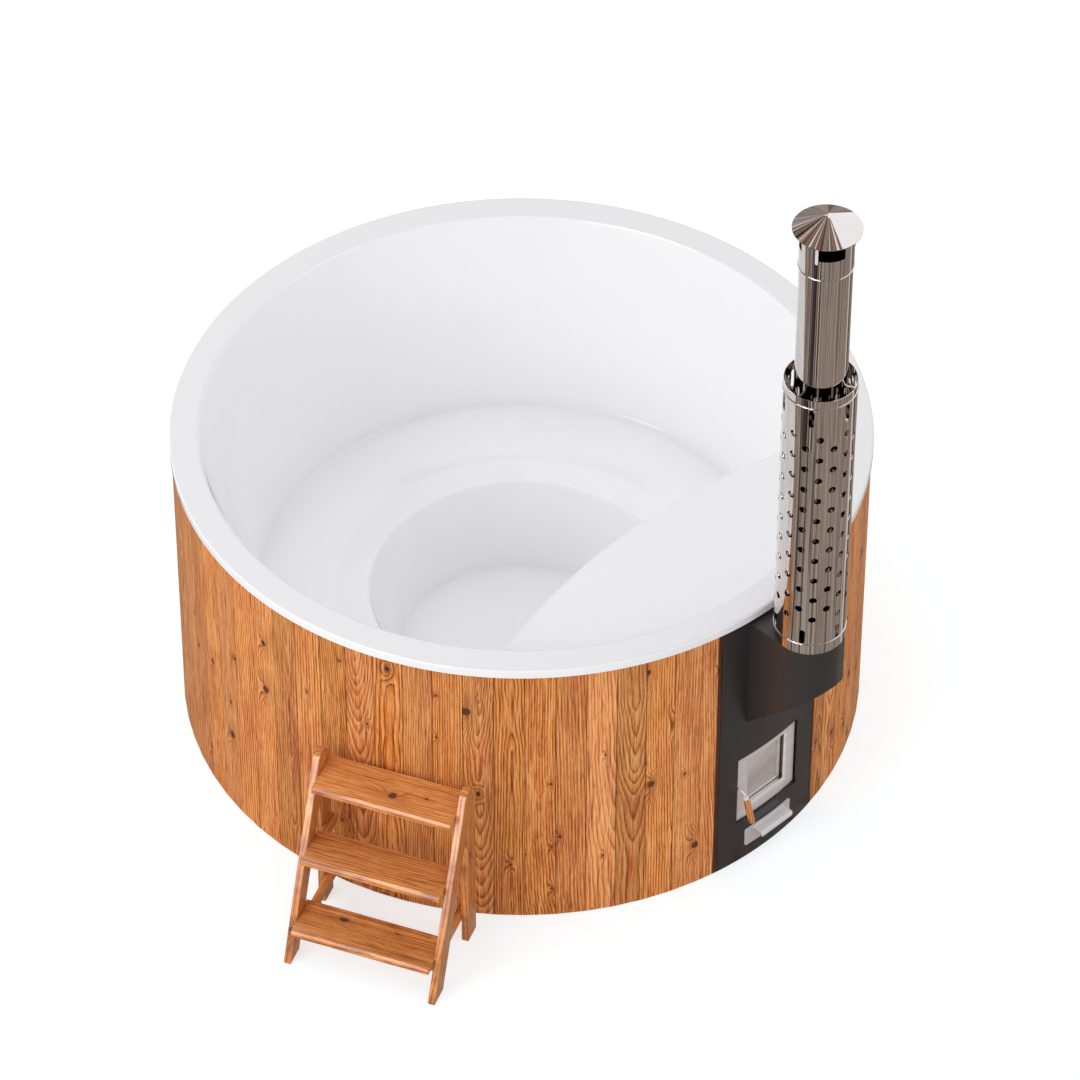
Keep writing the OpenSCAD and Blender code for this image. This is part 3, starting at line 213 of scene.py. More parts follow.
def times(values, factor):
    return tuple(v * factor for v in values)


# ---------------------------------------------------------------- materials
# above these heights the shell's flat faces are the heater's deck and the rim
DECK_FROM_Z = 0.85
RIM_FROM_Z = 0.93


def acrylic():
    t = Tree("acrylic")
    p = t.coords()
    wave = t.noise(p, 2.2, 2.0)
    basin = t.mix(wave, srgb(253, 253, 255), srgb(254, 254, 255))
    # the flat rim and deck are painted a little greyer, as light and reflections make them in the photograph
    _, _, up = t.separate(t.node("NewGeometry").outputs["Normal"])
    _, _, z = t.separate(p)
    flat = t.math("MULTIPLY", t.remap(up, 0.6, 0.9), t.math("GREATER_THAN", z, DECK_FROM_Z))
    rim_deck_shade = t.mix(t.math("GREATER_THAN", z, RIM_FROM_Z), srgb(243, 243, 246), srgb(238, 238, 241))
    return t.finish(Base_Color=t.mix(flat, basin, rim_deck_shade), Roughness=0.06,
                    Coat_Weight=0.4, Coat_Roughness=0.02, Normal=t.bump(wave, 0.05, 0.004))


def plain(name, color, rough, metallic=0.0, grain=120.0, bump=0.05):
    """A painted, cast or moulded surface with a fine mottle."""
    t = Tree(name)
    p = t.coords()
    n = t.noise(p, grain, 4.0, 0.6)
    big = t.noise(p, 6.0, 2.0)
    low, high = times(color, 0.94), times(color, 1.06)
    return t.finish(Base_Color=t.mix(t.math("MULTIPLY", t.math("ADD", n, big), 0.5), low, high),
                    Roughness=t.remap(n, 0.3, 0.7, rough * 0.85, rough * 1.15), Metallic=metallic,
                    Normal=t.bump(n, bump))


def brushed(name, color, rough=0.3):
    """Steel with fine lines along X."""
    t = Tree(name)
    n = t.noise(t.stretched(t.coords(), (1, 40, 40)), 30.0, 5.0, 0.7)
    return t.finish(Base_Color=t.mix(n, times(color, 0.82), color), Metallic=1.0,
                    Roughness=t.remap(n, 0.3, 0.7, rough * 0.7, rough * 1.3),
                    Normal=t.bump(n, 0.08, 0.0003))


def polished(name, color, rough=0.025):
    """Mirror steel with the faint lines of its rolling, up and down."""
    t = Tree(name)
    p = t.coords()
    n = t.noise(p, 3.0, 3.0)
    fine = t.noise(t.stretched(p, (60, 60, 1.5)), 8.0, 4.0)
    return t.finish(Base_Color=t.mix(t.remap(fine, 0.35, 0.65), times(color, 0.84), color),
                    Metallic=1.0, Roughness=t.remap(n, 0.3, 0.7, rough * 0.5, rough * 1.5),
                    Normal=t.bump(t.math("ADD", n, t.math("MULTIPLY", fine, 0.02)), 0.06, 0.002))


def satin(name, color, rough=0.42, metallic=0.25):
    """Bead-blasted stainless steel, drawn as a pale and only weakly metallic satin."""
    t = Tree(name)
    p = t.coords()
    fine = t.noise(p, 900.0, 2.0)
    broad = t.noise(t.stretched(p, (9, 9, 26)), 1.0, 4.0, 0.6)
    return t.finish(Base_Color=t.mix(t.remap(broad, 0.3, 0.7), times(color, 0.86), color),
                    Metallic=metallic, Roughness=t.remap(broad, 0.3, 0.7, rough * 0.8, rough * 1.2),
                    Normal=t.bump(fine, 0.08, 0.0003))


def glass():
    """The door's pane, drawn opaque: its greys, mottle and fine dark streaks are painted reflection and shade
    in place of clear glass, under a glossy coat.
    """
    t = Tree("stove_glass")
    p = t.coords()
    reflection_mottle = t.noise(p, 14.0, 4.0)
    weave = t.noise(t.stretched(p, (300, 40, 300)), 1.0, 2.0)
    col = t.mix(reflection_mottle, srgb(187, 178, 174), srgb(200, 193, 190))
    return t.finish(Base_Color=t.mix(t.remap(weave, 0.45, 0.7, 0.0, 0.25), col, srgb(120, 110, 104)),
                    Roughness=0.12, Coat_Weight=1.0, Coat_Roughness=0.02)


# cells of the pattern that places the knots, per metre across and along a board
KNOTS_ACROSS = 9.0
KNOTS_ALONG = 4.6
KNOT_BARK = srgb(108, 56, 30)
KNOT_HEARTS = (srgb(104, 56, 32), srgb(60, 56, 56))
# colour of the painted shade, with a little wear, along the joints between boards
JOINT_SHADE_COLOR = srgb(64, 34, 20)


def random_three(t, seed):
    """Three random values of 0 to 1 that belong to the seed."""
    n = t.node("TexWhiteNoise", noise_dimensions="1D")
    t.put(n.inputs["W"], seed)
    return t.separate(n.outputs["Color"])


def wood(name, pale, light, mid, dark, seam=0.0, spread=1.0, straight_from=0.34, knotty=0.50,
         late_low=0.62, slope=1.0, coat=0.08, coat_rough=0.2):
    """Plain-sawn softwood, cut from the solid: "grain" holds metres across, into and along the board.

    seam: width of the dark line along a board's edges, painted shade of the joints between boards with a
    little wear;
    spread: how much boards differ in shade;
    straight_from: share of boards with arches, not straight grain; knotty: share of cells without a knot;
    late_low: strength of the faintest board's late wood; slope: slant of the trunk's heart.
    """
    t = Tree(name)
    u, w, v = t.separate(t.attribute("grain", "Vector"))
    seed = t.attribute("seed")
    shift = t.math("MULTIPLY", seed, 37.0)
    pick, pick2, pick3 = random_three(t, seed)
    pick4, pick5, pick6 = random_three(t, t.math("ADD", seed, 5.3))

    def scaled(across, along):
        return t.combine(t.math("MULTIPLY", u, across), t.math("MULTIPLY", v, along), shift)

    # the trunk's heart lies at a slant behind the face, which draws the pointed arches
    slow = t.noise(t.combine(shift, v, 0.0), 2.2, 2.0)
    slant = t.math("MULTIPLY", v, t.remap(pick4, 0.0, 1.0, -0.10 * slope, 0.03 * slope))
    depth = t.math("ADD", t.remap(pick5, 0.0, 1.0, 0.018, 0.075), slant)
    depth = t.math("ADD", depth, t.swing(slow, 0.055 * slope))
    depth = t.math("ADD", depth, w)
    straight = t.remap(pick, straight_from, straight_from + 0.12, 0.0, 1.0)
    side = t.swing(t.noise(t.combine(shift, 3.0, v), 0.8, 1.0), 0.07)
    side = t.math("ADD", side, t.math("MULTIPLY", straight, 0.14))
    wobble = t.swing(t.noise(scaled(14.0, 4.0), 1.0, 3.0), t.remap(straight, 0.0, 1.0, 0.008, 0.004))
    across = t.math("ADD", t.math("SUBTRACT", u, side), wobble)
    # the arches are pointed, as in gothic windows
    bowed = t.math("SQRT", t.math("ADD", t.math("POWER", across, 2.0), 3e-6))
    bowed = t.math("MULTIPLY", t.math("POWER", bowed, t.remap(straight, 0.0, 1.0, 0.80, 1.0)),
                   t.remap(straight, 0.0, 1.0, 0.525, 1.0))

    # knots push the rings aside
    knots = t.node("TexVoronoi", feature="F1", distance="EUCLIDEAN", voronoi_dimensions="2D")
    cu = t.math("ADD", t.math("MULTIPLY", u, KNOTS_ACROSS), t.math("MULTIPLY", shift, 3.7))
    cv = t.math("ADD", t.math("MULTIPLY", v, KNOTS_ALONG), t.math("MULTIPLY", shift, 1.9))
    t.put(knots.inputs["Vector"], t.combine(cu, cv, 0.0))
    t.put(knots.inputs["Scale"], 1.0)
    ku, kv, _ = t.separate(knots.outputs["Position"])
    kpick, kbig, kgrey = t.separate(knots.outputs["Color"])
    chosen = t.math("GREATER_THAN", kpick, knotty)
    big = t.math("POWER", kbig, 2.0)
    du = t.math("DIVIDE", t.math("SUBTRACT", cu, ku), KNOTS_ACROSS)
    dv = t.math("DIVIDE", t.math("SUBTRACT", cv, kv), KNOTS_ALONG)
    ragged = t.swing(t.noise(t.combine(u, v, shift), 260.0, 2.0), 0.010)
    core = t.math("ADD", t.hypot(du, t.math("MULTIPLY", dv, 0.85)), ragged)
    reach = t.hypot(du, t.math("MULTIPLY", dv, 0.42))
    wide = t.remap(big, 0.0, 1.0, 0.014, 0.046)
    knear = t.math("SUBTRACT", 1.0, t.math("DIVIDE", reach, wide), clamp=True)
    knear = t.math("MULTIPLY", t.math("POWER", knear, 1.6), chosen)

    # the year rings
    radius = t.hypot(bowed, depth)
    radius = t.math("ADD", radius, t.math("MULTIPLY", knear, t.remap(big, 0.0, 1.0, 0.012, 0.040)))
    rings_per_metre = t.math("MULTIPLY", t.remap(pick2, 0.0, 1.0, 140.0, 210.0),
                             t.remap(straight, 0.0, 1.0, 1.0, 0.80))
    year = t.math("FRACT", t.math("MULTIPLY", radius, rings_per_metre))
    late = t.ramp(year, [(0.0, 0.15), (0.08, 0.0), (0.50, 0.06), (0.70, 0.40), (0.83, 1.0), (0.95, 0.95),
                         (1.0, 0.15)])
    early = t.ramp(year, [(0.0, 0.2), (0.08, 1.0), (0.30, 0.55), (0.55, 0.0), (1.0, 0.0)])
    fibre = t.noise(scaled(400.0, 26.0), 1.0, 2.0)
    streak = t.noise(scaled(215.0, 5.0), 1.0, 3.0, 0.65)
    tone = t.noise(scaled(16.0, 2.2), 1.0, 3.0)
    col = t.mix(t.remap(tone, 0.38, 0.74), light, mid)
    col = t.mix(t.math("MULTIPLY", early, 0.5), col, pale)
    col = t.mix(t.remap(streak, 0.52, 0.72, 0.0, 0.85), col, dark)
    col = t.mix(t.math("MULTIPLY", late, t.remap(pick3, 0.0, 1.0, late_low, 1.0)), col, dark)
    col = t.mix(t.remap(streak, 0.46, 0.28, 0.0, 0.8), col, pale)
    col = t.mix(t.remap(fibre, 0.52, 0.80, 0.0, 0.75), col, times(mid, 0.45))
    col = t.mix(t.remap(fibre, 0.25, 0.46, 0.35, 0.0), col, pale)
    col = t.mix(t.math("MULTIPLY", knear, 0.45), col, dark)
    size = t.remap(big, 0.0, 1.0, 0.0022, 0.0085)
    knot = t.math("MULTIPLY", t.math("SUBTRACT", 1.6, t.math("DIVIDE", core, size)), chosen)
    heart = t.mix(t.math("GREATER_THAN", kgrey, 0.45), *KNOT_HEARTS)
    col = t.mix(t.remap(knot, 0.0, 0.35), col, KNOT_BARK)
    col = t.mix(t.remap(knot, 0.55, 0.85), col, heart)

    # every board has its own shade
    hsv = t.node("HueSaturation")
    t.put(hsv.inputs["Hue"], t.remap(pick2, 0.0, 1.0, 0.5 - 0.003 * spread, 0.5))
    t.put(hsv.inputs["Saturation"], t.remap(pick3, 0.0, 1.0, 1.0 - 0.04 * spread, 1.0 + 0.03 * spread))
    t.put(hsv.inputs["Value"], t.remap(pick6, 0.0, 1.0, 1.0 + 0.12 * spread, 1.0 - 0.17 * spread))
    t.put(hsv.inputs["Color"], col)
    col = hsv.outputs[0]
    # each board darkens toward its edges: painted shade of the joints between boards, with a little wear
    if seam:
        edge = t.math("SUBTRACT", t.attribute("half"), t.math("ABSOLUTE", u))
        col = t.mix(t.remap(edge, 0.0008, seam, 0.95, 0.0), col, JOINT_SHADE_COLOR)
    height = t.math("SUBTRACT", t.math("MULTIPLY", fibre, 0.5), late)
    return t.finish(Base_Color=col, Roughness=t.remap(fibre, 0.2, 0.8, 0.36, 0.54),
                    Normal=t.bump(height, 0.25, 0.0006), Specular_IOR_Level=0.25,
                    Coat_Weight=coat, Coat_Roughness=coat_rough)


# how fast the sawn timber's pattern runs along X, Y and Z, per metre
SAWN_PATTERN = (1.5, 26.0, 26.0)
SAWN_FINE = 12


def box_wood(name, light, mid, dark):
    """Sawn frame timber, textured by its place alone, with its grain along X."""
    t = Tree(name)
    p = t.coords()
    n = t.noise(t.stretched(p, SAWN_PATTERN), 1.0, 5.0, 0.6, 0.6)
    fine = t.noise(t.stretched(p, times(SAWN_PATTERN, SAWN_FINE)), 1.0, 3.0)
    col = t.mix(t.ramp(n, [(0.3, 0.0), (0.55, 0.6), (0.7, 1.0)]), light, mid)
    col = t.mix(t.math("MULTIPLY", fine, 0.3), col, dark)
    return t.finish(Base_Color=col, Roughness=0.7, Normal=t.bump(fine, 0.2, 0.0008))


# pale, light, mid and dark tones of the wood
LARCH = (srgb(255, 202, 134), srgb(250, 156, 70), srgb(224, 112, 40), srgb(108, 44, 14))
STEPS_LARCH = (srgb(248, 186, 118), srgb(238, 150, 76), srgb(218, 124, 56), srgb(112, 50, 20))
MATERIALS = {
    "acrylic": acrylic(),
    "larch": wood("larch", *LARCH, seam=0.0031, late_low=0.52),
    "larch_steps": wood("larch_steps", *STEPS_LARCH, spread=0.1, straight_from=-0.2, knotty=0.6,
                        late_low=0.25, slope=0.15, coat=1.0, coat_rough=0.12),
    "frame_wood": box_wood("frame_wood", srgb(214, 184, 138), srgb(188, 150, 102), srgb(140, 104, 66)),
    "charcoal": plain("charcoal", srgb(51, 48, 47), 0.33, grain=420.0, bump=0.08),
    "brushed": brushed("brushed", srgb(196, 194, 193)),
    "polished": polished("polished", srgb(236, 230, 225)),
    "satin": satin("satin", srgb(232, 225, 224)),
    "satin_plate": satin("satin_plate", srgb(224, 217, 216)),
    # the next three are lighter and darker copies of the steel, for painted highlight and painted shade
    "mirror": polished("mirror", srgb(240, 232, 230), 0.10),
    "jamb_shade": polished("jamb_shade", srgb(136, 122, 114), 0.15),
    "lit_satin": satin("lit_satin", srgb(250, 246, 247), rough=0.25, metallic=0.15),
    "iron": plain("iron", srgb(44, 43, 44), 0.6, metallic=0.3, grain=200.0, bump=0.3),
    "rope": plain("rope", srgb(40, 40, 40), 0.9, grain=900.0, bump=0.8),
    "stove_glass": glass(),
    "drain_plastic": plain("drain_plastic", srgb(205, 205, 207), 0.5),
    "valve_brass": plain("valve_brass", srgb(190, 158, 92), 0.3, metallic=1.0),
}
# nodes that don't take the finish of their slot, to match the photograph
# the drawer pull, the cap's straps and the handle's rod and ferrule take a paler, less metallic copy of
# satin, painted lighter as highlight for the light they catch
FINISH = {"door_frame": "satin", "glass_retainer": "satin", "drawer_plate": "satin_plate",
          "drawer_pull": "lit_satin", "cap_straps": "lit_satin", "handle_rod": "lit_satin",
          "handle_ferrule": "lit_satin"}


def dress_nodes():
    """Each CAD node gets its material."""
    for entry in frame["record"]["subparts"]:
        node = NODES[entry["node"]]
        node.data.materials.clear()
        node.data.materials.append(MATERIALS[FINISH.get(entry["node"], entry["material_slot"])])


# ---------------------------------------------------------------- pieces
STEPS_DEG = -155.71
UP = Vector((0, 0, 1))
STEPS_OUT = Vector((math.cos(math.radians(STEPS_DEG)), math.sin(math.radians(STEPS_DEG)), 0))
STEPS_SIDE = Vector((-STEPS_OUT.y, STEPS_OUT.x, 0))
# the lean of the stringers and of the bevel along the treads' front edges, and that bevel's height
STRINGER_LEAN = math.radians(23.4)
NOSE_DROP = 0.0096
# the next board's seed lies this far on, as a share of the range from 0 to 1
SEED_STEP = 0.6180339
# points closer than this are one point
MERGE = 1e-5


def islands(bm):
    """The separate solids of a mesh, as lists of vertices."""
    left = set(bm.verts)
    while left:
        group, edge = set(), [next(iter(left))]
        while edge:
            vert = edge.pop()
            if vert in group:
                continue
            group.add(vert)
            edge.extend(e.other_vert(vert) for e in vert.link_edges)
        left -= group
        yield list(group)


def clean_copy(node, flat_deg=0.5):
    """The CAD node's mesh as a bmesh, with doubles and triangle edges in flat faces gone."""
    bm = bmesh.new()
    bm.from_mesh(NODES[node].data)
    bmesh.ops.remove_doubles(bm, verts=bm.verts, dist=MERGE)
    bmesh.ops.dissolve_limit(bm, angle_limit=math.radians(flat_deg), verts=bm.verts, edges=bm.edges)
    return bm


def soften(bm, width, segments=2, over_deg=30.0):
    """Rounds the sharp edges."""
    over = math.radians(over_deg)
    sharp = [e for e in bm.edges if len(e.link_faces) == 2 and e.calc_face_angle(0) > over]
    bmesh.ops.bevel(bm, geom=sharp, offset=width, segments=segments, profile=0.5, affect="EDGES",
                    clamp_overlap=True)


def add_piece(name, bm, material, body, node, smooth_deg=22.0):
    """Makes a piece of the bmesh that stands for the CAD node."""
    mesh = bpy.data.meshes.new(name)
    bm.to_mesh(mesh)
    bm.free()
    mesh.polygons.foreach_set("use_smooth", [True] * len(mesh.polygons))
    mesh.set_sharp_from_angle(angle=math.radians(smooth_deg))
    mesh.materials.append(material)
    piece = bpy.data.objects.new(name, mesh)
    scene.collection.objects.link(piece)
    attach(piece, body)
    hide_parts(node)
    return piece


def wooden_piece(node, axes, width, material="larch_steps", body="tub", seed=0.0, bm=None):
    """A CAD node in wood, with its edges rounded by the width.

    axes(centre) gives the directions across, into and along the board. The grain is laid out from the mean
    of a board's points, which is beside its middle where one side has more points.
    """
    bm = bm or clean_copy(node)
    soften(bm, width)
    grain = bm.verts.layers.float_vector.new("grain")
    seeds = bm.verts.layers.float.new("seed")
    halves = bm.verts.layers.float.new("half")
    groups = sorted(islands(bm), key=lambda verts: min(math.atan2(v.co.y, v.co.x) for v in verts))
    for i, verts in enumerate(groups):
        centre = sum((v.co for v in verts), Vector()) / len(verts)
        directions = axes(centre)
        local = [Vector([(v.co - centre).dot(a) for a in directions]) for v in verts]
        front = max(p.y for p in local)
        half = (max(p.x for p in local) - min(p.x for p in local)) / 2
        for v, p in zip(verts, local):
            v[grain] = (p.x, front - p.y, p.z)
            v[seeds] = (seed + (i + 1) * SEED_STEP) % 1.0
            v[halves] = half
    add_piece("wood_" + node, bm, MATERIALS[material], body, node)


def cladding_axes(centre):
    out = Vector((centre.x, centre.y, 0)).normalized()
    return (Vector((-out.y, out.x, 0)), out, UP)


def tread_solid(node):
    """A tread with the bevel along its front edge that its CAD solid rounds off."""
    spots = [(v.co.dot(STEPS_OUT), v.co.dot(STEPS_SIDE), v.co.z) for v in NODES[node].data.vertices]
    (x0, y0, z0), (x1, y1, z1) = (tuple(f(s[i] for s in spots) for i in range(3)) for f in (min, max))
    nose = NOSE_DROP * math.tan(STRINGER_LEAN)
    outline = [(x0, z0), (x1, z0), (x1, z1 - NOSE_DROP), (x1 - nose, z1), (x0, z1)]
    bm = bmesh.new()
    ends = [[bm.verts.new(STEPS_OUT * x + STEPS_SIDE * y + UP * z) for x, z in outline] for y in (y0, y1)]
    bm.faces.new(ends[0])
    bm.faces.new(reversed(ends[1]))
    for i in range(len(outline)):
        j = (i + 1) % len(outline)
        bm.faces.new((ends[0][j], ends[0][i], ends[1][i], ends[1][j]))
    bmesh.ops.recalc_face_normals(bm, faces=bm.faces)
    return bm


def make_wood():
    wooden_piece("cladding_boards", cladding_axes, 0.0009, "larch")
    lean_up = (UP * math.cos(STRINGER_LEAN) - STEPS_OUT * math.sin(STRINGER_LEAN)).normalized()
    lean_out = (STEPS_OUT * math.cos(STRINGER_LEAN) + UP * math.sin(STRINGER_LEAN)).normalized()
    for i, side in enumerate(("left", "right")):
        wooden_piece(side + "_stringer", lambda c: (lean_out, STEPS_SIDE, lean_up), 0.002,
                     seed=0.13 + 0.21 * i)
        wooden_piece(side + "_leg", lambda c: (STEPS_OUT, STEPS_SIDE, UP), 0.002, seed=0.31 + 0.17 * i)
    for node, seed in (("bottom_tread", 0.07), ("middle_tread", 0.47), ("top_tread", 0.65)):
        wooden_piece(node, lambda c: (STEPS_OUT, UP, STEPS_SIDE), 0.001, seed=seed, bm=tread_solid(node))
    wooden_piece("rear_rail", lambda c: (UP, STEPS_OUT, STEPS_SIDE), 0.0012, seed=0.83)
    wooden_piece("tread_cleats", lambda c: (UP, STEPS_SIDE, STEPS_OUT), 0.001, seed=0.41)
    wooden_piece("handle_grip", lambda c: (Vector((1, 0, 0)), Vector((0, -1, 0)), UP), 0.0006,
                 body="handle", seed=0.55)


# the shell's water side below the seat's weld: radius, height, the CAD's fillet and the finished one
SHELL_CORNERS = [(0.0, 0.085, 0, 0), (0.357, 0.085, 0.025, 0.007), (0.446, 0.340, 0.028, 0.008),
                 (0.543, 0.340, 0.060, 0.060), (0.755, 0.374, 0.040, 0.008), (0.916, 0.975, 0, 0)]
# straight pieces in a fillet of the CAD
ARC_STEPS = 6
# a point belongs to a stretch if it lies this near to it, and no further past its ends than this share
ON_LINE = 0.0002
PAST_END = 0.002


def corner_arc(before, corner, after, radius, steps):
    """Points of a fillet in the plane of radius and height."""
    before, corner, after = (Vector(p[:2]) for p in (before, corner, after))
    d0, d1 = (corner - before).normalized(), (after - corner).normalized()
    turn = math.atan2(d0.x * d1.y - d0.y * d1.x, d0.dot(d1))
    start = corner - d0 * radius * math.tan(abs(turn) / 2)
    centre = start + Vector((-d0.y, d0.x)) * math.copysign(radius, turn)
    spoke = start - centre
    return [centre + Matrix.Rotation(turn * i / steps, 2) @ spoke for i in range(steps + 1)]


def tighter_fillets():
    """Pairs of stretches: the CAD's polyline and where the finished one runs."""
    pairs = []
    for before, corner, after in zip(SHELL_CORNERS, SHELL_CORNERS[1:], SHELL_CORNERS[2:]):
        if corner[2] == corner[3]:
            continue
        old = corner_arc(before, corner, after, corner[2], ARC_STEPS)
        new = [old[0]] + corner_arc(before, corner, after, corner[3], ARC_STEPS - 2) + [old[-1]]
        pairs += list(zip(zip(old, old[1:]), zip(new, new[1:])))
    return pairs


def make_shell():
    """The seat and footwell with the crisp edges of the moulding."""
    pairs = tighter_fillets()
    for node in ("seat_ring", "footwell_pan"):
        bm = clean_copy(node, flat_deg=0.05)
        for v in bm.verts:
            r = math.hypot(v.co.x, v.co.y)
            here = Vector((r, v.co.z))
            for (a, b), (c, d) in pairs:
                along = (here - a).dot(b - a) / (b - a).length_squared
                off = (a + (b - a) * along - here).length
                if -PAST_END < along < 1 + PAST_END and off < ON_LINE:
                    there = c + (d - c) * min(1.0, max(0.0, along))
                    v.co.x, v.co.y, v.co.z = v.co.x * there.x / r, v.co.y * there.x / r, there.y
                    break
        piece = add_piece("moulded_" + node, bm, MATERIALS["acrylic"], "tub", node, 30.0)
        weigh = piece.modifiers.new("flat faces stay flat", "WEIGHTED_NORMAL")
        weigh.keep_sharp = True


# the door's front radius, its window (half width, sill and lintel), the place of the bevel's inner edge
# and the bevel's width
DOOR_R = 0.9856
WINDOW_HALF, WINDOW_LOW, WINDOW_HIGH = 0.075, 0.1978, 0.3748
BEVEL_Y = -0.9786
BEVEL = 0.007
# the CAD's groove: how far it and its lips on the front face reach to each side of the window's middle
# and above or below the window, and its depth behind the bevel
GROOVE_HALF, GROOVE_RISE = 0.093, 0.0175
LIP_HALF, LIP_RISE = 0.0905, 0.0135
GROOVE_DEPTH = 0.0086
# a point this near counts as on the front face, on the window's edge or on the groove's floor
FRONT_NEAR, EDGE_NEAR, FLOOR_NEAR = 0.0003, 0.0005, 0.0004
# the leaf's materials after satin, for the window's sill, jamb and bevel: lit and shaded copies of its steel,
# chosen by facet, with a polished sill and a pale bevel as painted highlights and a dark jamb as painted
# shade
REVEAL_LIT_AND_SHADED = ("mirror", "jamb_shade", "lit_satin")


def bevel_window(bm):
    """Closes the groove round the CAD's window to the plain bevel of the real door."""
    for v in bm.verts:
        x, y, z = v.co
        above, below = z - WINDOW_HIGH, WINDOW_LOW - z
        if max(above, below) > GROOVE_RISE or abs(x) > GROOVE_HALF:
            continue
        on_front = math.hypot(x, y) > DOOR_R - FRONT_NEAR
        if on_front and abs(x) < LIP_HALF and max(above, below) < LIP_RISE:
            if abs(x) > WINDOW_HALF - EDGE_NEAR:
                x = math.copysign(WINDOW_HALF + BEVEL, x)
            if above > -EDGE_NEAR:
                z = WINDOW_HIGH + BEVEL
            if below > -EDGE_NEAR:
                z = WINDOW_LOW - BEVEL
            v.co = (x, -math.sqrt(DOOR_R ** 2 - x ** 2), z)
        elif BEVEL_Y - FLOOR_NEAR < y < BEVEL_Y + GROOVE_DEPTH:
            v.co = (min(WINDOW_HALF, max(-WINDOW_HALF, x)), BEVEL_Y, min(WINDOW_HIGH, max(WINDOW_LOW, z)))
    bmesh.ops.remove_doubles(bm, verts=bm.verts, dist=2 * MERGE)
    bmesh.ops.dissolve_degenerate(bm, edges=bm.edges, dist=2 * MERGE)


def make_door():
    """The door leaf: its window has a plain bevel, and by facet a polished sill and a pale bevel as painted
    highlights and a dark jamb as painted shade.
    """
    bm = clean_copy("door_frame")
    bevel_window(bm)
    bm.normal_update()
    low, high = (Vector(c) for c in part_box("door_glass"))
    for face in bm.faces:
        spot, n = face.calc_center_median(), face.normal
        if low.x < spot.x < high.x and low.z < spot.z < high.z and spot.y < high.y:
            # the sill facing up takes the polished steel and the slanted bevel the pale copy, as painted
            # highlights; the jamb facing left takes the dark copy, as painted shade
            finish = None
            if n.z > 0.9:
                finish = "mirror"
            elif n.x < -0.9:
                finish = "jamb_shade"
            elif n.z > 0.3 or n.x < -0.3:
                finish = "lit_satin"
            if finish:
                face.material_index = 1 + REVEAL_LIT_AND_SHADED.index(finish)
    soften(bm, 0.0005, 1, 40.0)
    piece = add_piece("door_leaf", bm, MATERIALS["satin"], "door", "door_frame")
    for name in REVEAL_LIT_AND_SHADED:
        piece.data.materials.append(MATERIALS[name])


# ---------------------------------------------------------------- light, floor and background
FLOOR_SIZE = 60.0
# what the floor gives off to the camera on top of the light that it scatters, and its colours for the
# light that falls on the object and for the camera
FLOOR_GLOW = 0.65
FLOOR_COLOR = (0.82, 0.82, 0.82)
FLOOR_SEEN = (0.47, 0.53, 0.555)
WHITE = (1.0, 1.0, 1.0)
# the world's even grey for diffuse light
AMBIENT = 0.83
CHIMNEY_Y = -1.1225
# above this elevation in degrees reflections see the ceiling
CEILING_FROM = 52.0
# patches that only reflections see, made up to match the photograph's steel: azimuth, half
# width, low and high elevation in degrees, softness of the edges, colour, strength and how much of the
# hall they cover
PATCHES = [
    (46, 30, -8, 28, 3.0, (0.36, 0.34, 0.34), 1.0, 0.6),
    (-6, 36, -5, 90, 2.0, (1.07, 1.09, 1.13), 1.0, 1.0),
    (-56, 22, 16, 48, 4.0, (1.0, 0.94, 0.94), 1.2, 1.0),
    (48, 26, 28, 52, 4.0, (1.0, 0.95, 0.95), 1.15, 1.0),
    (-170, 13, -5, 22, 4.0, (0.94, 0.95, 1.08), 5.5, 1.0),
]
# streaks on the ground around the chimney that only reflections see, made up likewise: first and last
# bearing in degrees, how far out they start in metres, colour
BANDS = [
    (66.0, 122.0, 3.4, (1.4, 1.38, 1.40)),
    (129.0, 134.0, 0.0, srgb(110, 90, 78)),
    (164.0, 169.0, 0.0, srgb(78, 69, 65)),
    (171.0, 183.0, 1.95, srgb(66, 59, 55)),
    (183.0, 187.0, 1.95, srgb(34, 30, 29)),
    (191.0, 195.0, 0.0, srgb(92, 82, 76)),
    (197.0, 199.0, 1.95, srgb(214, 206, 202)),
    (199.0, 203.0, 1.95, srgb(60, 53, 50)),
    (338.0, 346.0, 0.0, srgb(214, 206, 202)),
    (352.0, 358.0, 0.0, srgb(60, 50, 45)),
]


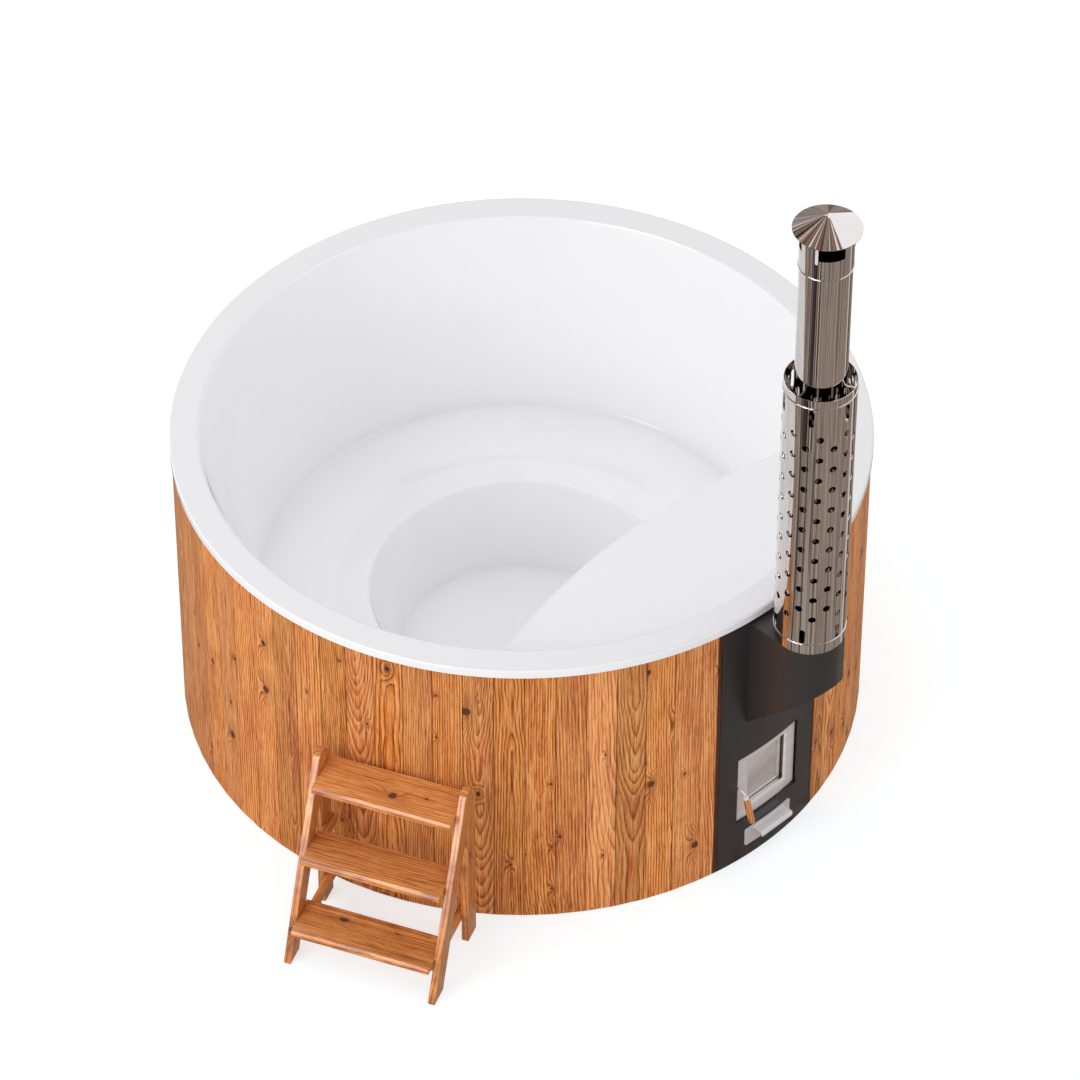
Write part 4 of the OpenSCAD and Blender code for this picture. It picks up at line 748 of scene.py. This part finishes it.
def make_world():
    """White to the camera and through glass, even grey for diffuse light, a streaky hall in reflections."""
    scene.world = bpy.data.worlds.new("studio")
    t = Tree("studio", scene.world)
    x, y, z = t.separate(t.node("TexCoord").outputs["Generated"])
    azimuth = t.math("DEGREES", t.math("ARCTAN2", y, x))
    elevation = t.math("DEGREES", t.math("ARCSINE", z))
    strips = t.noise(t.combine(t.math("MULTIPLY", azimuth, 0.11), 0.0, 0.0), 1.0, 1.0, 0.6)
    hall = t.ramp(strips, [(0.0, srgb(30, 28, 28)), (0.36, srgb(44, 40, 38)), (0.40, srgb(168, 152, 142)),
                           (0.45, srgb(120, 104, 94)), (0.48, srgb(34, 30, 29)), (0.51, srgb(126, 112, 103)),
                           (0.55, srgb(222, 214, 212)), (0.58, srgb(48, 42, 40)), (0.62, srgb(196, 104, 56)),
                           (0.66, srgb(244, 240, 240)), (1.0, srgb(100, 88, 82))])
    # overhead the strips run straight across, for the chimney's cap
    across = t.math("DIVIDE", t.math("SUBTRACT", x, y), t.math("MAXIMUM", z, 0.2))
    slats = t.noise(t.combine(t.math("MULTIPLY", across, 4.0), 0.0, 0.0), 1.0, 1.0, 0.6)
    ceiling = t.ramp(slats, [(0.0, srgb(30, 28, 28)), (0.37, srgb(58, 51, 48)),
                             (0.40, srgb(232, 226, 222)), (0.43, srgb(132, 116, 107)),
                             (0.47, srgb(34, 30, 29)), (0.50, srgb(150, 134, 125)),
                             (0.53, srgb(110, 96, 88)), (0.55, srgb(30, 27, 26)),
                             (0.58, srgb(226, 132, 80)), (0.60, srgb(46, 40, 38)),
                             (0.64, srgb(240, 236, 236)), (1.0, srgb(120, 106, 98))])
    col = t.mix(t.remap(elevation, CEILING_FROM, CEILING_FROM + 2), hall, ceiling)
    for middle, half, low, high, soft, color, power, cover in PATCHES:
        turn = t.turn_from(azimuth, float(middle))
        inside = t.remap(t.math("ABSOLUTE", turn), half, half + soft, cover, 0.0)
        inside = t.math("MULTIPLY", inside, t.remap(elevation, low - soft, low, 0.0, 1.0))
        inside = t.math("MULTIPLY", inside, t.remap(elevation, high, high + soft, 1.0, 0.0))
        col = t.mix(inside, col, times(color, power))
    background = t.nt.nodes["Background"]
    direct = t.light_path("Is Camera Ray", "Is Transmission Ray")
    glossy = t.light_path("Is Glossy Ray")
    plain_white = t.mix(direct, times(WHITE, AMBIENT), WHITE)
    t.put(background.inputs["Color"], t.mix(glossy, plain_white, col))
    t.put(background.inputs["Strength"], 1.0)


def make_floor():
    """White to the camera and through glass, with the object's shadow; reflections see a taupe ground."""
    h = FLOOR_SIZE / 2
    mesh = bpy.data.meshes.new("floor")
    mesh.from_pydata([(-h, -h, 0), (h, -h, 0), (h, h, 0), (-h, h, 0)], [], [(0, 1, 2, 3)])
    floor = bpy.data.objects.new("floor", mesh)
    scene.collection.objects.link(floor)
    t = Tree("floor")
    seen = t.light_path("Is Camera Ray", "Is Transmission Ray")
    white = t.node("Emission")
    t.put(white.inputs["Color"], WHITE)
    t.put(white.inputs["Strength"], t.math("MULTIPLY", seen, FLOOR_GLOW))
    diffuse = t.node("BsdfDiffuse")
    t.put(diffuse.inputs["Color"], t.mix(seen, FLOOR_COLOR, FLOOR_SEEN))
    lit = t.node("AddShader")
    t.put(lit.inputs[0], diffuse.outputs[0])
    t.put(lit.inputs[1], white.outputs[0])
    # streaks that run away from the chimney's foot, as its mirror shows them upright
    ground = t.node("Emission")
    x, y, _ = t.separate(t.coords())
    y = t.math("SUBTRACT", y, CHIMNEY_Y)
    bearing = t.math("DEGREES", t.math("ARCTAN2", y, x))
    far = t.hypot(x, y)
    planks = t.combine(t.math("MULTIPLY", bearing, 0.22), t.math("MULTIPLY", far, 0.5), 0.0)
    planks = t.noise(planks, 1.0, 5.0, 0.75, 0.25)
    streaks = t.ramp(planks, [(0.28, srgb(40, 35, 33)), (0.38, srgb(88, 77, 70)),
                              (0.46, srgb(136, 123, 114)), (0.56, srgb(160, 147, 138)),
                              (0.66, srgb(196, 186, 179)), (0.74, srgb(240, 236, 234))])
    for start, end, out, color in BANDS:
        turn = t.turn_from(bearing, (start + end) / 2)
        inside = t.math("COMPARE", turn, 0.0, (end - start) / 2)
        inside = t.math("MULTIPLY", inside, t.math("GREATER_THAN", far, out))
        streaks = t.mix(inside, streaks, color)
    t.put(ground.inputs["Color"], streaks)
    both = t.node("MixShader")
    t.put(both.inputs[0], t.light_path("Is Glossy Ray"))
    t.put(both.inputs[1], lit.outputs[0])
    t.put(both.inputs[2], ground.outputs[0])
    t.put(t.out.inputs["Surface"], both.outputs[0])
    mesh.materials.append(t.material)


# the one lamp: place, the point it faces, side in metres and power in watts
KEY_POS, KEY_TARGET = Vector((-9.4, 0.5, 5.2)), Vector((0, 0, 0.8))
KEY_SIZE = 5.0
KEY_POWER = 252


def make_lamp():
    data = bpy.data.lights.new("key", "AREA")
    data.shape = "RECTANGLE"
    data.size, data.size_y = KEY_SIZE, KEY_SIZE
    data.energy = KEY_POWER
    lamp = bpy.data.objects.new("key", data)
    lamp.location = KEY_POS
    lamp.rotation_euler = (KEY_TARGET - KEY_POS).to_track_quat("-Z", "Y").to_euler()
    scene.collection.objects.link(lamp)


scene.view_settings.view_transform = "Standard"
make_camera()
make_world()
make_floor()
make_lamp()
dress_nodes()
make_wood()
make_shell()
make_door()
